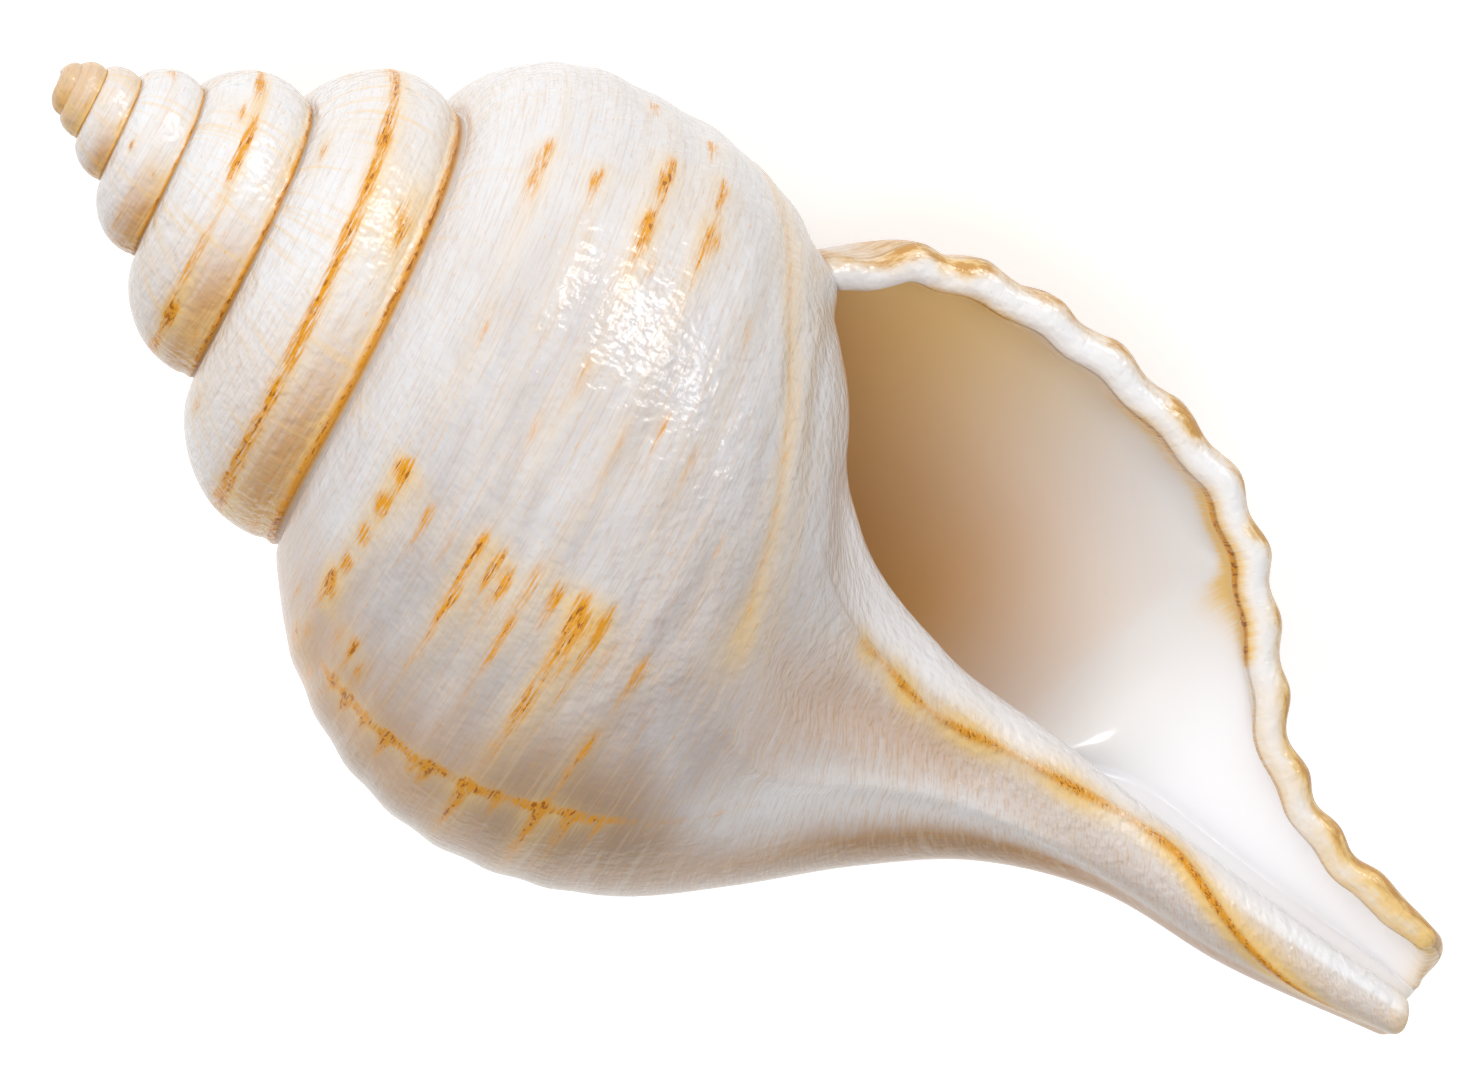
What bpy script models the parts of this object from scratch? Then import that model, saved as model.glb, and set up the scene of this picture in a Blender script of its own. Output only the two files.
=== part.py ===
"""A large whelk-like conch shell, lying on its back with the mouth up.

The shell is one natural solid. Its surface follows the way it grew: a profile
from suture to canal tip is carried round the axis and widens as it turns.
Growth is counted in half turns. The lip is at half turn 10, and the wall that
the lip closes against is one full turn older, at half turn 8.

The tables are millimetres in the shell's own frame: X runs along the axis from
the apex to the canal tip, Y points to the lip's side, Z points out of the mouth.
"""

import math

import bmesh
import bpy
import numpy as np
from mathutils import Matrix, Vector

MM = 0.001

# How finely the surface is divided.
TURN_COLUMNS = 32  # round one full turn
SPIRE_ROWS = 6  # from one suture to the next
BASE_ROWS = 20  # from the mouth's upper corner to the canal tip
BEAD_STEPS = 4  # over the rounded edge of the lip
DEPTH_STEPS = 17  # from the lip back to the deep end of the hollow

# Growth, in half turns.
APEX = -4
WALL = 8
LIP = 10

# The wall and the hollow.
BEAD_RADIUS = 2.0  # the rounded edge of the lip
BEAD_AT_TIP = 1.1
WALL_THICKNESS = 3.0
WALL_AT_TIP = 1.6
MOUTH_CORNER = 4.2  # from the suture down to the mouth's upper corner
HOLLOW_DEPTH = 1.6  # half turns behind the lip
CANAL_DEPTH = 0.36  # half turns from the lip down to the floor of the canal
CANAL_START = 88.0
CANAL_END = 128.0
FLARE = 1.5  # how far the lip turns out
LENGTHEN = 1.01  # stretches every distance along the axis

# The suture: half turn, distance along the axis, radius.
SUTURE = (
    (-4, -1.9, 0.5),
    (-3, -1.2, 1.4),
    (-2, -0.1, 2.2),
    (-1, 1.1, 2.9),
    (0, 2.4, 3.4),
    (1, 3.8, 3.9),
    (2, 5.7, 4.7),
    (3, 8.1, 5.9),
    (4, 11.3, 7.6),
    (5, 15.1, 9.9),
    (6, 20.8, 12.7),
    (7, 26.7, 16.3),
    (8, 33.4, 20.9),
    (8.5, 37.8, 23.1),
    (9, 43.1, 25.2),
    (9.5, 55.0, 27.6),
    (10, 72.3, 31.2),
)

# A spire whorl between its two sutures, as shares of the way along and out.
WHORL = ((0.06, 0.34), (0.21, 0.70), (0.50, 1.03), (0.88, 1.07))
LATE_WHORL = ((0.045, 0.38), (0.185, 0.78), (0.435, 1.06), (0.78, 1.17))

# Profiles of the last turn, as (along the axis, radius), from suture to canal tip.
# On the wall's profile the sixth point is where the lip joins it.
WALL_PROFILE = (
    (33.4, 20.9),
    (34.6, 26.1),
    (38.7, 30.7),
    (45.0, 34.1),
    (54.5, 36.1),
    (72.3, 31.2),
    (80.0, 25.8),
    (86.2, 18.9),
    (91.5, 11.6),
    (102.0, 6.3),
    (120.0, 5.7),
    (142.0, 5.1),
    (163.5, 3.6),
)
FRONT_PROFILE = (
    (37.8, 23.1),
    (40.2, 27.6),
    (45.0, 32.6),
    (52.3, 36.4),
    (62.5, 38.5),
    (75.5, 36.0),
    (84.5, 29.5),
    (91.5, 20.5),
    (97.5, 13.0),
    (107.0, 8.6),
    (125.0, 6.0),
    (144.5, 5.0),
    (164.6, 2.6),
)
FAR_PROFILE = (
    (43.1, 25.2),
    (46.0, 28.6),
    (51.0, 33.6),
    (58.5, 38.2),
    (69.5, 40.6),
    (81.0, 38.9),
    (91.5, 34.2),
    (101.0, 26.2),
    (109.5, 17.6),
    (118.5, 10.2),
    (131.0, 5.3),
    (147.0, 4.8),
    (164.8, 1.6),
)
BACK_PROFILE = (
    (55.0, 27.6),
    (58.5, 30.8),
    (64.0, 34.6),
    (71.5, 37.2),
    (81.0, 37.0),
    (91.5, 36.8),
    (101.5, 33.0),
    (110.5, 27.2),
    (118.5, 21.0),
    (126.5, 15.0),
    (136.5, 10.5),
    (149.0, 8.5),
    (164.5, 5.2),
)
LIP_PROFILE = (
    (72.3, 31.2),
    (75.3, 33.5),
    (79.5, 37.6),
    (85.5, 40.2),
    (94.0, 41.6),
    (103.5, 41.5),
    (112.5, 40.1),
    (120.5, 37.6),
    (127.5, 32.5),
    (133.5, 26.0),
    (141.0, 17.7),
    (151.5, 12.2),
    (162.5, 7.9),
)
JOIN = 5  # the point of the wall's profile where the lip joins it
TIP = 12

# The growth axis leans from the shell's long line: (along, sideways).
AXIS = ((-2, 0.1), (100, -3.8), (125, -4.2), (140, -4.1), (152, -3.8), (165, -3.2))

# The canal's floor line: (along, radius).
FLOOR = ((88, 14.0), (105, 10.5), (120, 9.0), (140, 7.0), (152, 5.6), (166, 4.2))

# The shell at rest, turned from its own frame.
ROLL = math.radians(-32.083)
PITCH = math.radians(-9.211)


def curve(knots, values, at):
    """A smooth curve through values at their knots."""
    i = int(np.clip(np.searchsorted(knots, at, side="right") - 1, 0, len(knots) - 2))
    slopes = []
    for j in (i, i + 1):
        before = (values[j] - values[j - 1]) / (knots[j] - knots[j - 1]) if j > 0 else None
        after = None
        if j < len(knots) - 1:
            after = (values[j + 1] - values[j]) / (knots[j + 1] - knots[j])
        if before is None:
            slopes.append(after)
        elif after is None:
            slopes.append(before)
        else:
            left = knots[j] - knots[j - 1]
            right = knots[j + 1] - knots[j]
            slopes.append((before * right + after * left) / (left + right))
    step = knots[i + 1] - knots[i]
    t = (at - knots[i]) / step
    return (
        values[i] * (1 + 2 * t) * (1 - t) ** 2
        + slopes[0] * step * t * (1 - t) ** 2
        + values[i + 1] * t * t * (3 - 2 * t)
        + slopes[1] * step * t * t * (t - 1)
    )


def ease(low, high, at):
    t = min(max((at - low) / (high - low), 0.0), 1.0)
    return t * t * (3 - 2 * t)


SUTURE_TURNS = np.array([row[0] for row in SUTURE], float)
SUTURE_POINTS = np.array([row[1:] for row in SUTURE], float)
AXIS_ALONG = np.array([row[0] for row in AXIS], float)
AXIS_SIDE = np.array([row[1] for row in AXIS], float)
FLOOR_ALONG = np.array([row[0] for row in FLOOR], float)
FLOOR_RADIUS = np.array([row[1] for row in FLOOR], float)


def suture(turn):
    return curve(SUTURE_TURNS, SUTURE_POINTS, turn)


def axis_side(along):
    return float(curve(AXIS_ALONG, AXIS_SIDE, min(max(along, -2.0), 165.0)))


def covered(start):
    """The wall's lower profile as it was earlier, when it began at this point."""
    wall = np.array(WALL_PROFILE)
    stretch = (wall[TIP, 0] - start[0]) / (wall[TIP, 0] - wall[JOIN, 0])
    points = wall[JOIN + 1 :].copy()
    points[:, 0] = start[0] + (points[:, 0] - wall[JOIN, 0]) * stretch
    points[:, 1] *= start[1] / wall[JOIN, 1]
    return points


def spire_profile(turn, shares):
    top = suture(turn)
    low = suture(turn + 2)
    whorl = top + (low - top) * np.array(shares)
    return np.vstack([top, whorl, low, covered(low)])


LAST_TURNS = np.array([6.5, 7, 7.5, 8, 8.5, 9, 9.5, 10])
LAST_PROFILES = np.array(
    [
        spire_profile(6.5, WHORL),
        spire_profile(7, WHORL),
        spire_profile(7.5, LATE_WHORL),
        WALL_PROFILE,
        FRONT_PROFILE,
        FAR_PROFILE,
        BACK_PROFILE,
        LIP_PROFILE,
    ]
)
profiles = {}


def profile(turn):
    """The profile at this half turn, as points and their distances along it."""
    key = round(turn, 6)
    if key not in profiles:
        if turn <= 7:
            points = spire_profile(turn, WHORL)
        else:
            points = curve(LAST_TURNS, LAST_PROFILES, turn)
            points[0] = suture(turn)
            if turn <= WALL:
                points[JOIN] = suture(turn + 2)
        steps = np.linalg.norm(np.diff(points, axis=0), axis=1)
        profiles[key] = (points, np.concatenate([[0], np.cumsum(steps)]))
    return profiles[key]


def flare(turn, place):
    """How far the wall draws in just behind the lip, so that the lip turns out."""
    if turn <= 9.4:
        return 0.0
    near = ease(9.4, 9.8, turn) * (1 - ease(9.8, 10.0, turn))
    return FLARE * near * ease(1, 3, place) * (1 - ease(8, 11, place))


def section(turn, place):
    """Distance along the axis and radius, at a place from 0 (suture) to 12 (tip)."""
    points, along = profile(turn)
    i = min(int(place), TIP - 1)
    at = along[i] + (place - i) * (along[i + 1] - along[i])
    s, radius = curve(along, points, at)
    return float(s), float(radius) - flare(turn, place)


def at_radius(turn, s, radius):
    angle = math.pi * turn
    side = axis_side(s) + radius * math.cos(angle)
    return Vector((s * LENGTHEN, side, radius * math.sin(angle)))


def skin(turn, place):
    s, radius = section(turn, place)
    return at_radius(turn, s, radius)


def outward(turn, place):
    """The skin's normal, away from the axis."""
    ahead = min(turn + 0.01, float(LIP))
    low = max(place - 0.05, 0.0)
    high = min(place + 0.05, float(TIP))
    growth = skin(ahead, place) - skin(ahead - 0.02, place)
    down = skin(turn, high) - skin(turn, low)
    return growth.cross(down).normalized()


def thickness(s):
    return WALL_THICKNESS + (WALL_AT_TIP - WALL_THICKNESS) * ease(120, 160, s)


def hollow_depth(s):
    return HOLLOW_DEPTH + (CANAL_DEPTH - HOLLOW_DEPTH) * ease(CANAL_START, CANAL_END, s)


def row_places():
    """Places of the rows from suture to tip. The lip joins at row SPIRE_ROWS."""
    spire = [JOIN * (i / SPIRE_ROWS) ** 1.15 for i in range(SPIRE_ROWS)]
    base = [JOIN + (TIP - JOIN) * i / BASE_ROWS for i in range(BASE_ROWS + 1)]
    return spire + base


def lip_inside(place):
    """Rows of the lip's inner side start lower, below the mouth's upper corner."""
    return 1.7 + place * (TIP - 1.7) / TIP


def bead_radius(place):
    radius = BEAD_RADIUS + (BEAD_AT_TIP - BEAD_RADIUS) * ease(9, 12, place)
    return radius * (0.6 + 0.4 * ease(0, 2.5, place))


def bead_point(place, step):
    """A point on the lip's rounded edge, from its outer face to its inner face."""
    out = outward(LIP, place)
    growth = (skin(LIP, place) - skin(LIP - 0.02, place)).normalized()
    radius = bead_radius(place)
    angle = math.pi * step / BEAD_STEPS
    over = out * (math.cos(angle) - 1) + growth * math.sin(angle)
    return skin(LIP, place) + over * radius


def corner_place(turn):
    """Place on the wall of the mouth's upper corner, a little below the suture."""
    points, along = profile(turn)
    return JOIN + min(MOUTH_CORNER / (along[JOIN + 1] - along[JOIN]), 0.9)


def settled_depth(turn_of, place):
    """The hollow's depth for a row, found where that row ends."""
    back = HOLLOW_DEPTH
    for _ in range(16):
        back = 0.5 * (back + hollow_depth(section(turn_of - back, place)[0]))
    return back


def canal_floor(point, turn, share):
    """Draws both sides of the canal together at its floor."""
    s = point.x / LENGTHEN
    weight = ease(CANAL_START, CANAL_END, s) * ease(0.25, 1.0, share)
    if weight == 0:
        return point
    target = at_radius(turn, s, float(curve(FLOOR_ALONG, FLOOR_RADIUS, s)))
    return point.lerp(target, weight)


def corner(turn, share):
    """The line where the hollow's two sides meet, from the lip inwards."""
    place = corner_place(turn)
    return skin(turn, JOIN + (place - JOIN) * share)


def lip_side(place, step):
    """A point on the outer wall, from the lip's edge back to the deep end."""
    if step <= BEAD_STEPS:
        part = step / BEAD_STEPS
        if place == 0:
            return corner(WALL - 0.01 * step, part)
        return bead_point(place + (lip_inside(place) - place) * part, step)
    inside = lip_inside(place)
    back = settled_depth(LIP, inside)
    share = ((step - BEAD_STEPS) / DEPTH_STEPS) ** 1.2
    if place == 0:
        return corner(WALL - 0.01 * BEAD_STEPS - back * share, 1.0)
    turn = LIP - back * share
    bead = 2 * bead_radius(inside)
    thick = thickness(section(turn, inside)[0])
    thick = bead + (thick - bead) * ease(0, 0.25, share)
    point = skin(turn, inside) - outward(turn, inside) * thick
    return canal_floor(point, turn, share)


def wall_side(place, step):
    """A point on the older wall and the columella, facing the lip side."""
    if step <= BEAD_STEPS:
        turn = WALL - 0.01 * step
        top = JOIN + (corner_place(turn) - JOIN) * step / BEAD_STEPS
        return skin(turn, top + (place - JOIN) * (TIP - top) / (TIP - JOIN))
    share = ((step - BEAD_STEPS) / DEPTH_STEPS) ** 1.2
    start = WALL - 0.01 * BEAD_STEPS
    back = settled_depth(start, place)
    turn = start - back * share
    top = corner_place(turn)
    point = skin(turn, top + (place - JOIN) * (TIP - top) / (TIP - JOIN))
    return canal_floor(point, turn, share)


def zipper(first, second, points):
    """Triangles between two chains of vertices that run side by side."""
    faces = []
    i = 0
    j = 0
    while i < len(first) - 1 or j < len(second) - 1:
        on_first = math.inf
        on_second = math.inf
        if i < len(first) - 1:
            on_first = (points[first[i + 1]] - points[second[j]]).length
        if j < len(second) - 1:
            on_second = (points[first[i]] - points[second[j + 1]]).length
        if on_first <= on_second:
            faces.append((first[i], second[j], first[i + 1]))
            i += 1
        else:
            faces.append((first[i], second[j], second[j + 1]))
            j += 1
    return faces


def strips(grid):
    """Quads between neighbouring lines of vertices."""
    faces = []
    for line, following in zip(grid, grid[1:]):
        for i in range(len(line) - 1):
            faces.append((line[i], following[i], following[i + 1], line[i + 1]))
    return faces


def grow_skin(points):
    """The outside, from the apex to the lip, as lines of vertices from suture to suture."""
    places = row_places()
    half = TURN_COLUMNS // 2
    columns = [APEX + j / half for j in range((LIP - APEX) * half + 1)]
    lines = []
    for turn in columns:
        count = SPIRE_ROWS if turn < WALL else len(places)
        line = []
        for place in places[:count]:
            line.append(len(points))
            points.append(skin(turn, place))
        lines.append(line)
    for j, line in enumerate(lines):
        if columns[j] < WALL:
            line.append(lines[j + TURN_COLUMNS][0])
    wall = (WALL - APEX) * half
    lines[wall][SPIRE_ROWS] = lines[-1][0]
    return lines, wall


def close_apex(lines, points):
    """A cap over the first turn."""
    rim = [lines[j][0] for j in range(TURN_COLUMNS + 1)]
    rim += lines[0][SPIRE_ROWS - 1 : 0 : -1]
    middle = sum((points[v] for v in rim), Vector()) / len(rim)
    top = len(points)
    points.append(middle - Vector((0.5, 0, 0)))
    return [(rim[i], top, rim[(i + 1) % len(rim)]) for i in range(len(rim))]


def line_hollow(lines, wall, points):
    """The lip's edge, the hollow behind it, and the open canal."""
    places = row_places()
    outer = [lines[-1]]
    inner = [lines[wall][SPIRE_ROWS:]]
    for step in range(1, BEAD_STEPS + DEPTH_STEPS + 1):
        outer.append([])
        for place in places:
            outer[-1].append(len(points))
            points.append(lip_side(place, step))
        inner.append([outer[-1][0]])
        for place in places[SPIRE_ROWS + 1 :]:
            inner[-1].append(len(points))
            points.append(wall_side(place, step))
    faces = strips(outer)
    faces += strips(inner[::-1])
    faces += zipper(outer[-1], inner[-1][1:], points)
    end = [line[-1] for line in outer] + [line[-1] for line in inner[::-1]]
    skin_end = [line[-1] for line in lines[wall:][::-1]]
    faces += [face[::-1] for face in zipper(skin_end, end[1:-1], points)]
    return faces


def shell_material():
    material = bpy.data.materials.new("glossy_shell")
    material.use_nodes = True
    shader = material.node_tree.nodes["Principled BSDF"]
    shader.inputs["Base Color"].default_value = (0.80, 0.74, 0.64, 1.0)
    shader.inputs["Roughness"].default_value = 0.22
    return material


def make_shell():
    points = []
    lines, wall = grow_skin(points)
    faces = []
    for line, following in zip(lines, lines[1:]):
        rows = min(len(line), len(following))
        faces += strips([line[:rows], following[:rows]])
    faces += close_apex(lines, points)
    faces += line_hollow(lines, wall, points)
    mesh = bpy.data.meshes.new("shell")
    mesh.from_pydata([tuple(p * MM) for p in points], [], faces)
    mesh.materials.append(shell_material())
    work = bmesh.new()
    work.from_mesh(mesh)
    bmesh.ops.recalc_face_normals(work, faces=work.faces)
    bmesh.ops.triangulate(work, faces=work.faces)
    work.to_mesh(mesh)
    work.free()
    mesh.polygons.foreach_set("use_smooth", [True] * len(mesh.polygons))
    return mesh


def lay_down(mesh):
    """Turns the shell to the way it rests, and stands it on the ground at the origin."""
    turn = Matrix.Rotation(PITCH, 4, "Y") @ Matrix.Rotation(ROLL, 4, "X")
    mesh.transform(turn)
    corners = np.array([v.co for v in mesh.vertices])
    low = corners.min(axis=0)
    high = corners.max(axis=0)
    middle = (low + high) / 2
    mesh.transform(Matrix.Translation((-middle[0], -middle[1], -low[2])))


for old in list(bpy.data.objects):
    bpy.data.objects.remove(old)
shell_mesh = make_shell()
lay_down(shell_mesh)
bpy.context.scene.collection.objects.link(bpy.data.objects.new("shell", shell_mesh))
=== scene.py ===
# Conch shell lying on its back: the fine shell, its finish, and a plain studio round it.

import math

import bmesh
import bpy
import numpy as np
from mathutils import Matrix, Vector


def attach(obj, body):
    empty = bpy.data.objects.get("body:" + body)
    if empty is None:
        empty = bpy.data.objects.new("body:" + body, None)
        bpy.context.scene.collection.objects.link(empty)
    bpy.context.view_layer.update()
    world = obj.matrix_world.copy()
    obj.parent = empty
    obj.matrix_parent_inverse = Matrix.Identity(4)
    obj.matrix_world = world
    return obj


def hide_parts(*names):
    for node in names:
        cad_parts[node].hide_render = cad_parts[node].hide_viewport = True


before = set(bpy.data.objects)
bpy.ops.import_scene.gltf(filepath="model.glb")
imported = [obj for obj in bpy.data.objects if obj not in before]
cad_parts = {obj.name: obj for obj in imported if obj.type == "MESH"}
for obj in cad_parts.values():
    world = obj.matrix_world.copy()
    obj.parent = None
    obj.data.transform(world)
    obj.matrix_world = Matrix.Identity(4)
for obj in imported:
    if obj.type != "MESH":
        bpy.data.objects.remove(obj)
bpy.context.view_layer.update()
print("frame loaded")


# The shell's own measures, in millimetres. X runs along the growth axis from the
# spire to the canal, Y points to the lip, Z points out of the mouth. Growth is
# counted in half turns, and a place runs from 0 at the suture to 12 at the canal's tip.
shellShape = {
    "apex": -4.0,
    "wall": 8.0,  # the older wall that the lip closes against
    "lip": 10.0,
    "join": 5,  # the place on the wall where the lip joins it
    "tip": 12,
    "suture": (  # half turn, distance along the axis, radius
        (-4, -1.9, 0.5), (-3, -1.2, 1.4), (-2, -0.1, 2.2), (-1, 1.1, 2.9),
        (0, 2.4, 3.4), (1, 3.8, 3.9), (2, 5.7, 4.7), (3, 8.1, 5.9),
        (4, 11.3, 7.6), (5, 15.1, 9.9), (6, 20.8, 12.7), (7, 26.7, 16.3),
        (8, 33.4, 20.9), (8.5, 37.8, 23.1), (9, 43.1, 25.2), (9.5, 55.0, 27.6),
        (10, 72.3, 31.2),
    ),
    "whorl": ((0.06, 0.34), (0.21, 0.70), (0.50, 1.03), (0.88, 1.07)),
    "lateWhorl": ((0.045, 0.38), (0.185, 0.78), (0.435, 1.06), (0.78, 1.17)),
    "wallProfile": (
        (33.4, 20.9), (34.6, 26.1), (38.7, 30.7), (45.0, 34.1), (54.5, 36.1),
        (72.3, 31.2), (80.0, 25.8), (86.2, 18.9), (91.5, 11.6), (102.0, 6.3),
        (120.0, 5.3), (142.0, 3.8), (165.2, 2.4),
    ),
    "frontProfile": (
        (37.8, 23.1), (40.2, 27.6), (45.0, 32.6), (52.3, 36.4), (62.5, 38.5),
        (75.5, 36.0), (84.5, 29.5), (91.5, 20.5), (97.5, 13.0), (107.0, 8.6),
        (125.0, 6.0), (144.5, 5.0), (166.2, 3.0),
    ),
    "farProfile": (
        (43.1, 25.2), (46.0, 28.6), (51.0, 33.6), (58.5, 38.2), (69.5, 40.6),
        (81.0, 38.9), (91.5, 34.2), (101.0, 26.2), (109.5, 17.6), (118.5, 10.2),
        (131.0, 5.3), (147.0, 4.8), (166.4, 2.2),
    ),
    "backProfile": (
        (55.0, 27.6), (58.5, 30.8), (64.0, 34.6), (71.5, 37.2), (81.0, 37.0),
        (91.5, 36.8), (101.5, 33.0), (110.5, 27.2), (118.5, 21.0), (126.5, 15.0),
        (136.5, 10.5), (149.0, 8.5), (165.2, 5.2),
    ),
    "lipProfile": (
        (72.3, 31.2), (75.3, 33.5), (79.5, 37.6), (85.5, 40.2), (94.0, 41.6),
        (103.5, 41.5), (112.5, 40.1), (120.5, 37.6), (127.5, 32.5), (133.5, 26.0),
        (141.0, 17.7), (151.5, 12.2), (162.5, 7.9),
    ),
    "axis": (  # the growth axis leans a little: along, sideways
        (-2, 0.1), (100, -3.8), (125, -4.2), (140, -4.1), (152, -3.8), (165, -3.2),
    ),
    "canalFloor": ((88, 14.0), (105, 10.5), (120, 9.0), (140, 6.8), (152, 5.7), (166, 4.6)),
    "lengthen": 1.01,
    "thickness": (3.0, 1.6),  # in the body, and at the canal's tip
    "hollowDepth": (1.6, 0.17),  # half turns behind the lip: in the mouth, in the canal
    "canalRange": (88.0, 128.0),
    "mouthCorner": 4.2,
    "flare": 1.5,  # how far the skin draws in just behind the lip
    "flareTurns": (9.4, 9.8, 9.8, 10.0),
    "flarePlaces": (1, 3, 8, 11),
    "spoon": (1.5, 0.9),  # the lip's lower end reaches this much further, along and out
    "spoonTurns": (9.1, 9.8),
    "spoonPlaces": (10.6, 11.9),
    "tipRim": 1.15,
    "tipFlare": (2.0, 1.6),  # the spout's rounded corner, along and out
    "tipFlareTurn": (9.83, 0.16),  # its middle and width
    "apexDrop": 0.6,  # rounds the apex off
    "wallTipReach": 1.4,  # the canal's floor ends this far past the wall
    "tipRaise": 0.7,  # the rim stands this high inside the canal's end
    "roll": -32.083,  # degrees, as it lies
    "pitch": -9.211,
    "shift": (-81.295, 3.325, 22.236),
}


# A smooth curve through values at their knots, read at many places at once.
def curveThrough(knots, values, at):
    steps = np.diff(knots, axis=-1)
    rises = np.diff(values, axis=-2) / steps[..., None]
    before = steps[..., :-1, None]
    after = steps[..., 1:, None]
    inner = (rises[..., :-1, :] * after + rises[..., 1:, :] * before) / (before + after)
    slopes = np.concatenate([rises[..., :1, :], inner, rises[..., -1:, :]], axis=-2)
    last = knots.shape[-1] - 2
    if knots.ndim == 1:
        index = np.clip(np.searchsorted(knots, at, side="right") - 1, 0, last)
        pick = index
        pickNext = index + 1
    else:
        index = np.clip((knots <= at[:, None]).sum(axis=1) - 1, 0, last)
        rows = np.arange(len(at))
        pick = (rows, index)
        pickNext = (rows, index + 1)
    step = steps[pick][:, None]
    t = (at[:, None] - knots[pick][:, None]) / step
    rise = slopes[pick] * step * t * (1 - t) ** 2
    fall = slopes[pickNext] * step * t * t * (t - 1)
    return values[pick] * (1 + 2 * t) * (1 - t) ** 2 + rise + values[pickNext] * t * t * (3 - 2 * t) + fall


def easeBetween(low, high, at):
    t = np.clip((at - low) / (high - low), 0.0, 1.0)
    return t * t * (3 - 2 * t)


def hump(at, middle, width):
    return np.exp(-(((at - middle) / width) ** 2))


# Rises from 0 to 1 where something starts, and falls to 0 again where it ends.
def within(at, starts, whole, fades, gone):
    return easeBetween(starts, whole, at) * (1 - easeBetween(fades, gone, at))


sutureTable = np.array(shellShape["suture"], float)
axisTable = np.array(shellShape["axis"], float)
floorTable = np.array(shellShape["canalFloor"], float)
wallTable = np.array(shellShape["wallProfile"], float)
joinPlace = shellShape["join"]
tipPlace = shellShape["tip"]
noEdge = 99.0  # for points that are nowhere near a whorl's lower edge
skinDepth = 1e-6  # deeper points are inside: above it on the lip's side, below minus it on the wall's


def sutureAt(turn):
    return curveThrough(sutureTable[:, 0], sutureTable[:, 1:], turn)


def axisSideAt(along):
    return curveThrough(axisTable[:, 0], axisTable[:, 1:], np.clip(along, -2.0, 165.0))[:, 0]


# Whole profiles of spire whorls, which go on down inside the next whorl.
def spireProfiles(turn, shares):
    top = sutureAt(turn)
    low = sutureAt(turn + 2)
    whorl = top[:, None] + (low - top)[:, None] * np.array(shares)[None]
    below = np.repeat(wallTable[None, joinPlace + 1 :], len(turn), axis=0)
    stretch = (wallTable[tipPlace, 0] - low[:, 0]) / (wallTable[tipPlace, 0] - wallTable[joinPlace, 0])
    below[:, :, 0] = low[:, :1] + (below[:, :, 0] - wallTable[joinPlace, 0]) * stretch[:, None]
    below[:, :, 1] *= (low[:, 1] / wallTable[joinPlace, 1])[:, None]
    return np.concatenate([top[:, None], whorl, low[:, None], below], axis=1)


lastTurns = np.array([6.5, 7, 7.5, 8, 8.5, 9, 9.5, 10])
lastProfiles = np.stack(
    [
        spireProfiles(np.array([6.5]), shellShape["whorl"])[0],
        spireProfiles(np.array([7.0]), shellShape["whorl"])[0],
        spireProfiles(np.array([7.5]), shellShape["lateWhorl"])[0],
        wallTable,
        np.array(shellShape["frontProfile"]),
        np.array(shellShape["farProfile"]),
        np.array(shellShape["backProfile"]),
        np.array(shellShape["lipProfile"]),
    ]
)


def profilesAt(turn):
    early = spireProfiles(np.minimum(turn, 7.0), shellShape["whorl"])
    late = curveThrough(lastTurns, lastProfiles.reshape(len(lastTurns), -1), np.maximum(turn, 7.0))
    late = late.reshape(len(turn), tipPlace + 1, 2)
    late[:, 0] = sutureAt(turn)
    closed = turn <= shellShape["wall"]
    late[closed, joinPlace] = sutureAt(turn[closed] + 2)
    points = np.where((turn <= 7.0)[:, None, None], early, late)
    steps = np.linalg.norm(np.diff(points, axis=1), axis=2)
    along = np.concatenate([np.zeros((len(turn), 1)), np.cumsum(steps, axis=1)], axis=1)
    return points, along


# Distance along the axis, radius, and how far it is down the profile from the suture,
# then on to the whorl's lower edge, and to the canal's tip.
def sectionAt(turn, place, flared=True):
    turns, back = np.unique(turn, return_inverse=True)
    points, lengths = profilesAt(turns)
    points = points[back]
    lengths = lengths[back]
    rows = np.arange(len(turn))
    i = np.minimum(place.astype(int), tipPlace - 1)
    at = lengths[rows, i] + (place - i) * (lengths[rows, i + 1] - lengths[rows, i])
    section = curveThrough(lengths, points, at)
    flare = shellShape["flare"] * within(turn, *shellShape["flareTurns"])
    flare = flare * within(place, *shellShape["flarePlaces"])
    spoon = easeBetween(*shellShape["spoonTurns"], turn) * easeBetween(*shellShape["spoonPlaces"], place)
    corner = flared * hump(turn, *shellShape["tipFlareTurn"]) * easeBetween(10.9, 12.0, place)
    along = section[:, 0] + shellShape["spoon"][0] * spoon + shellShape["tipFlare"][0] * corner
    along = along + shellShape["apexDrop"] * (1 - easeBetween(-4, -1, turn))
    radius = section[:, 1] - flare + shellShape["spoon"][1] * spoon + shellShape["tipFlare"][1] * corner
    return along, radius, at, lengths[rows, joinPlace] - at, lengths[:, tipPlace] - at


def aroundAxis(turn, along, radius):
    angle = math.pi * turn
    side = axisSideAt(along) + radius * np.cos(angle)
    return np.stack([along * shellShape["lengthen"], side, radius * np.sin(angle)], axis=1)


def plainSkin(turn, place):
    along, radius = sectionAt(turn, place, False)[:2]
    return aroundAxis(turn, along, radius)


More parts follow.
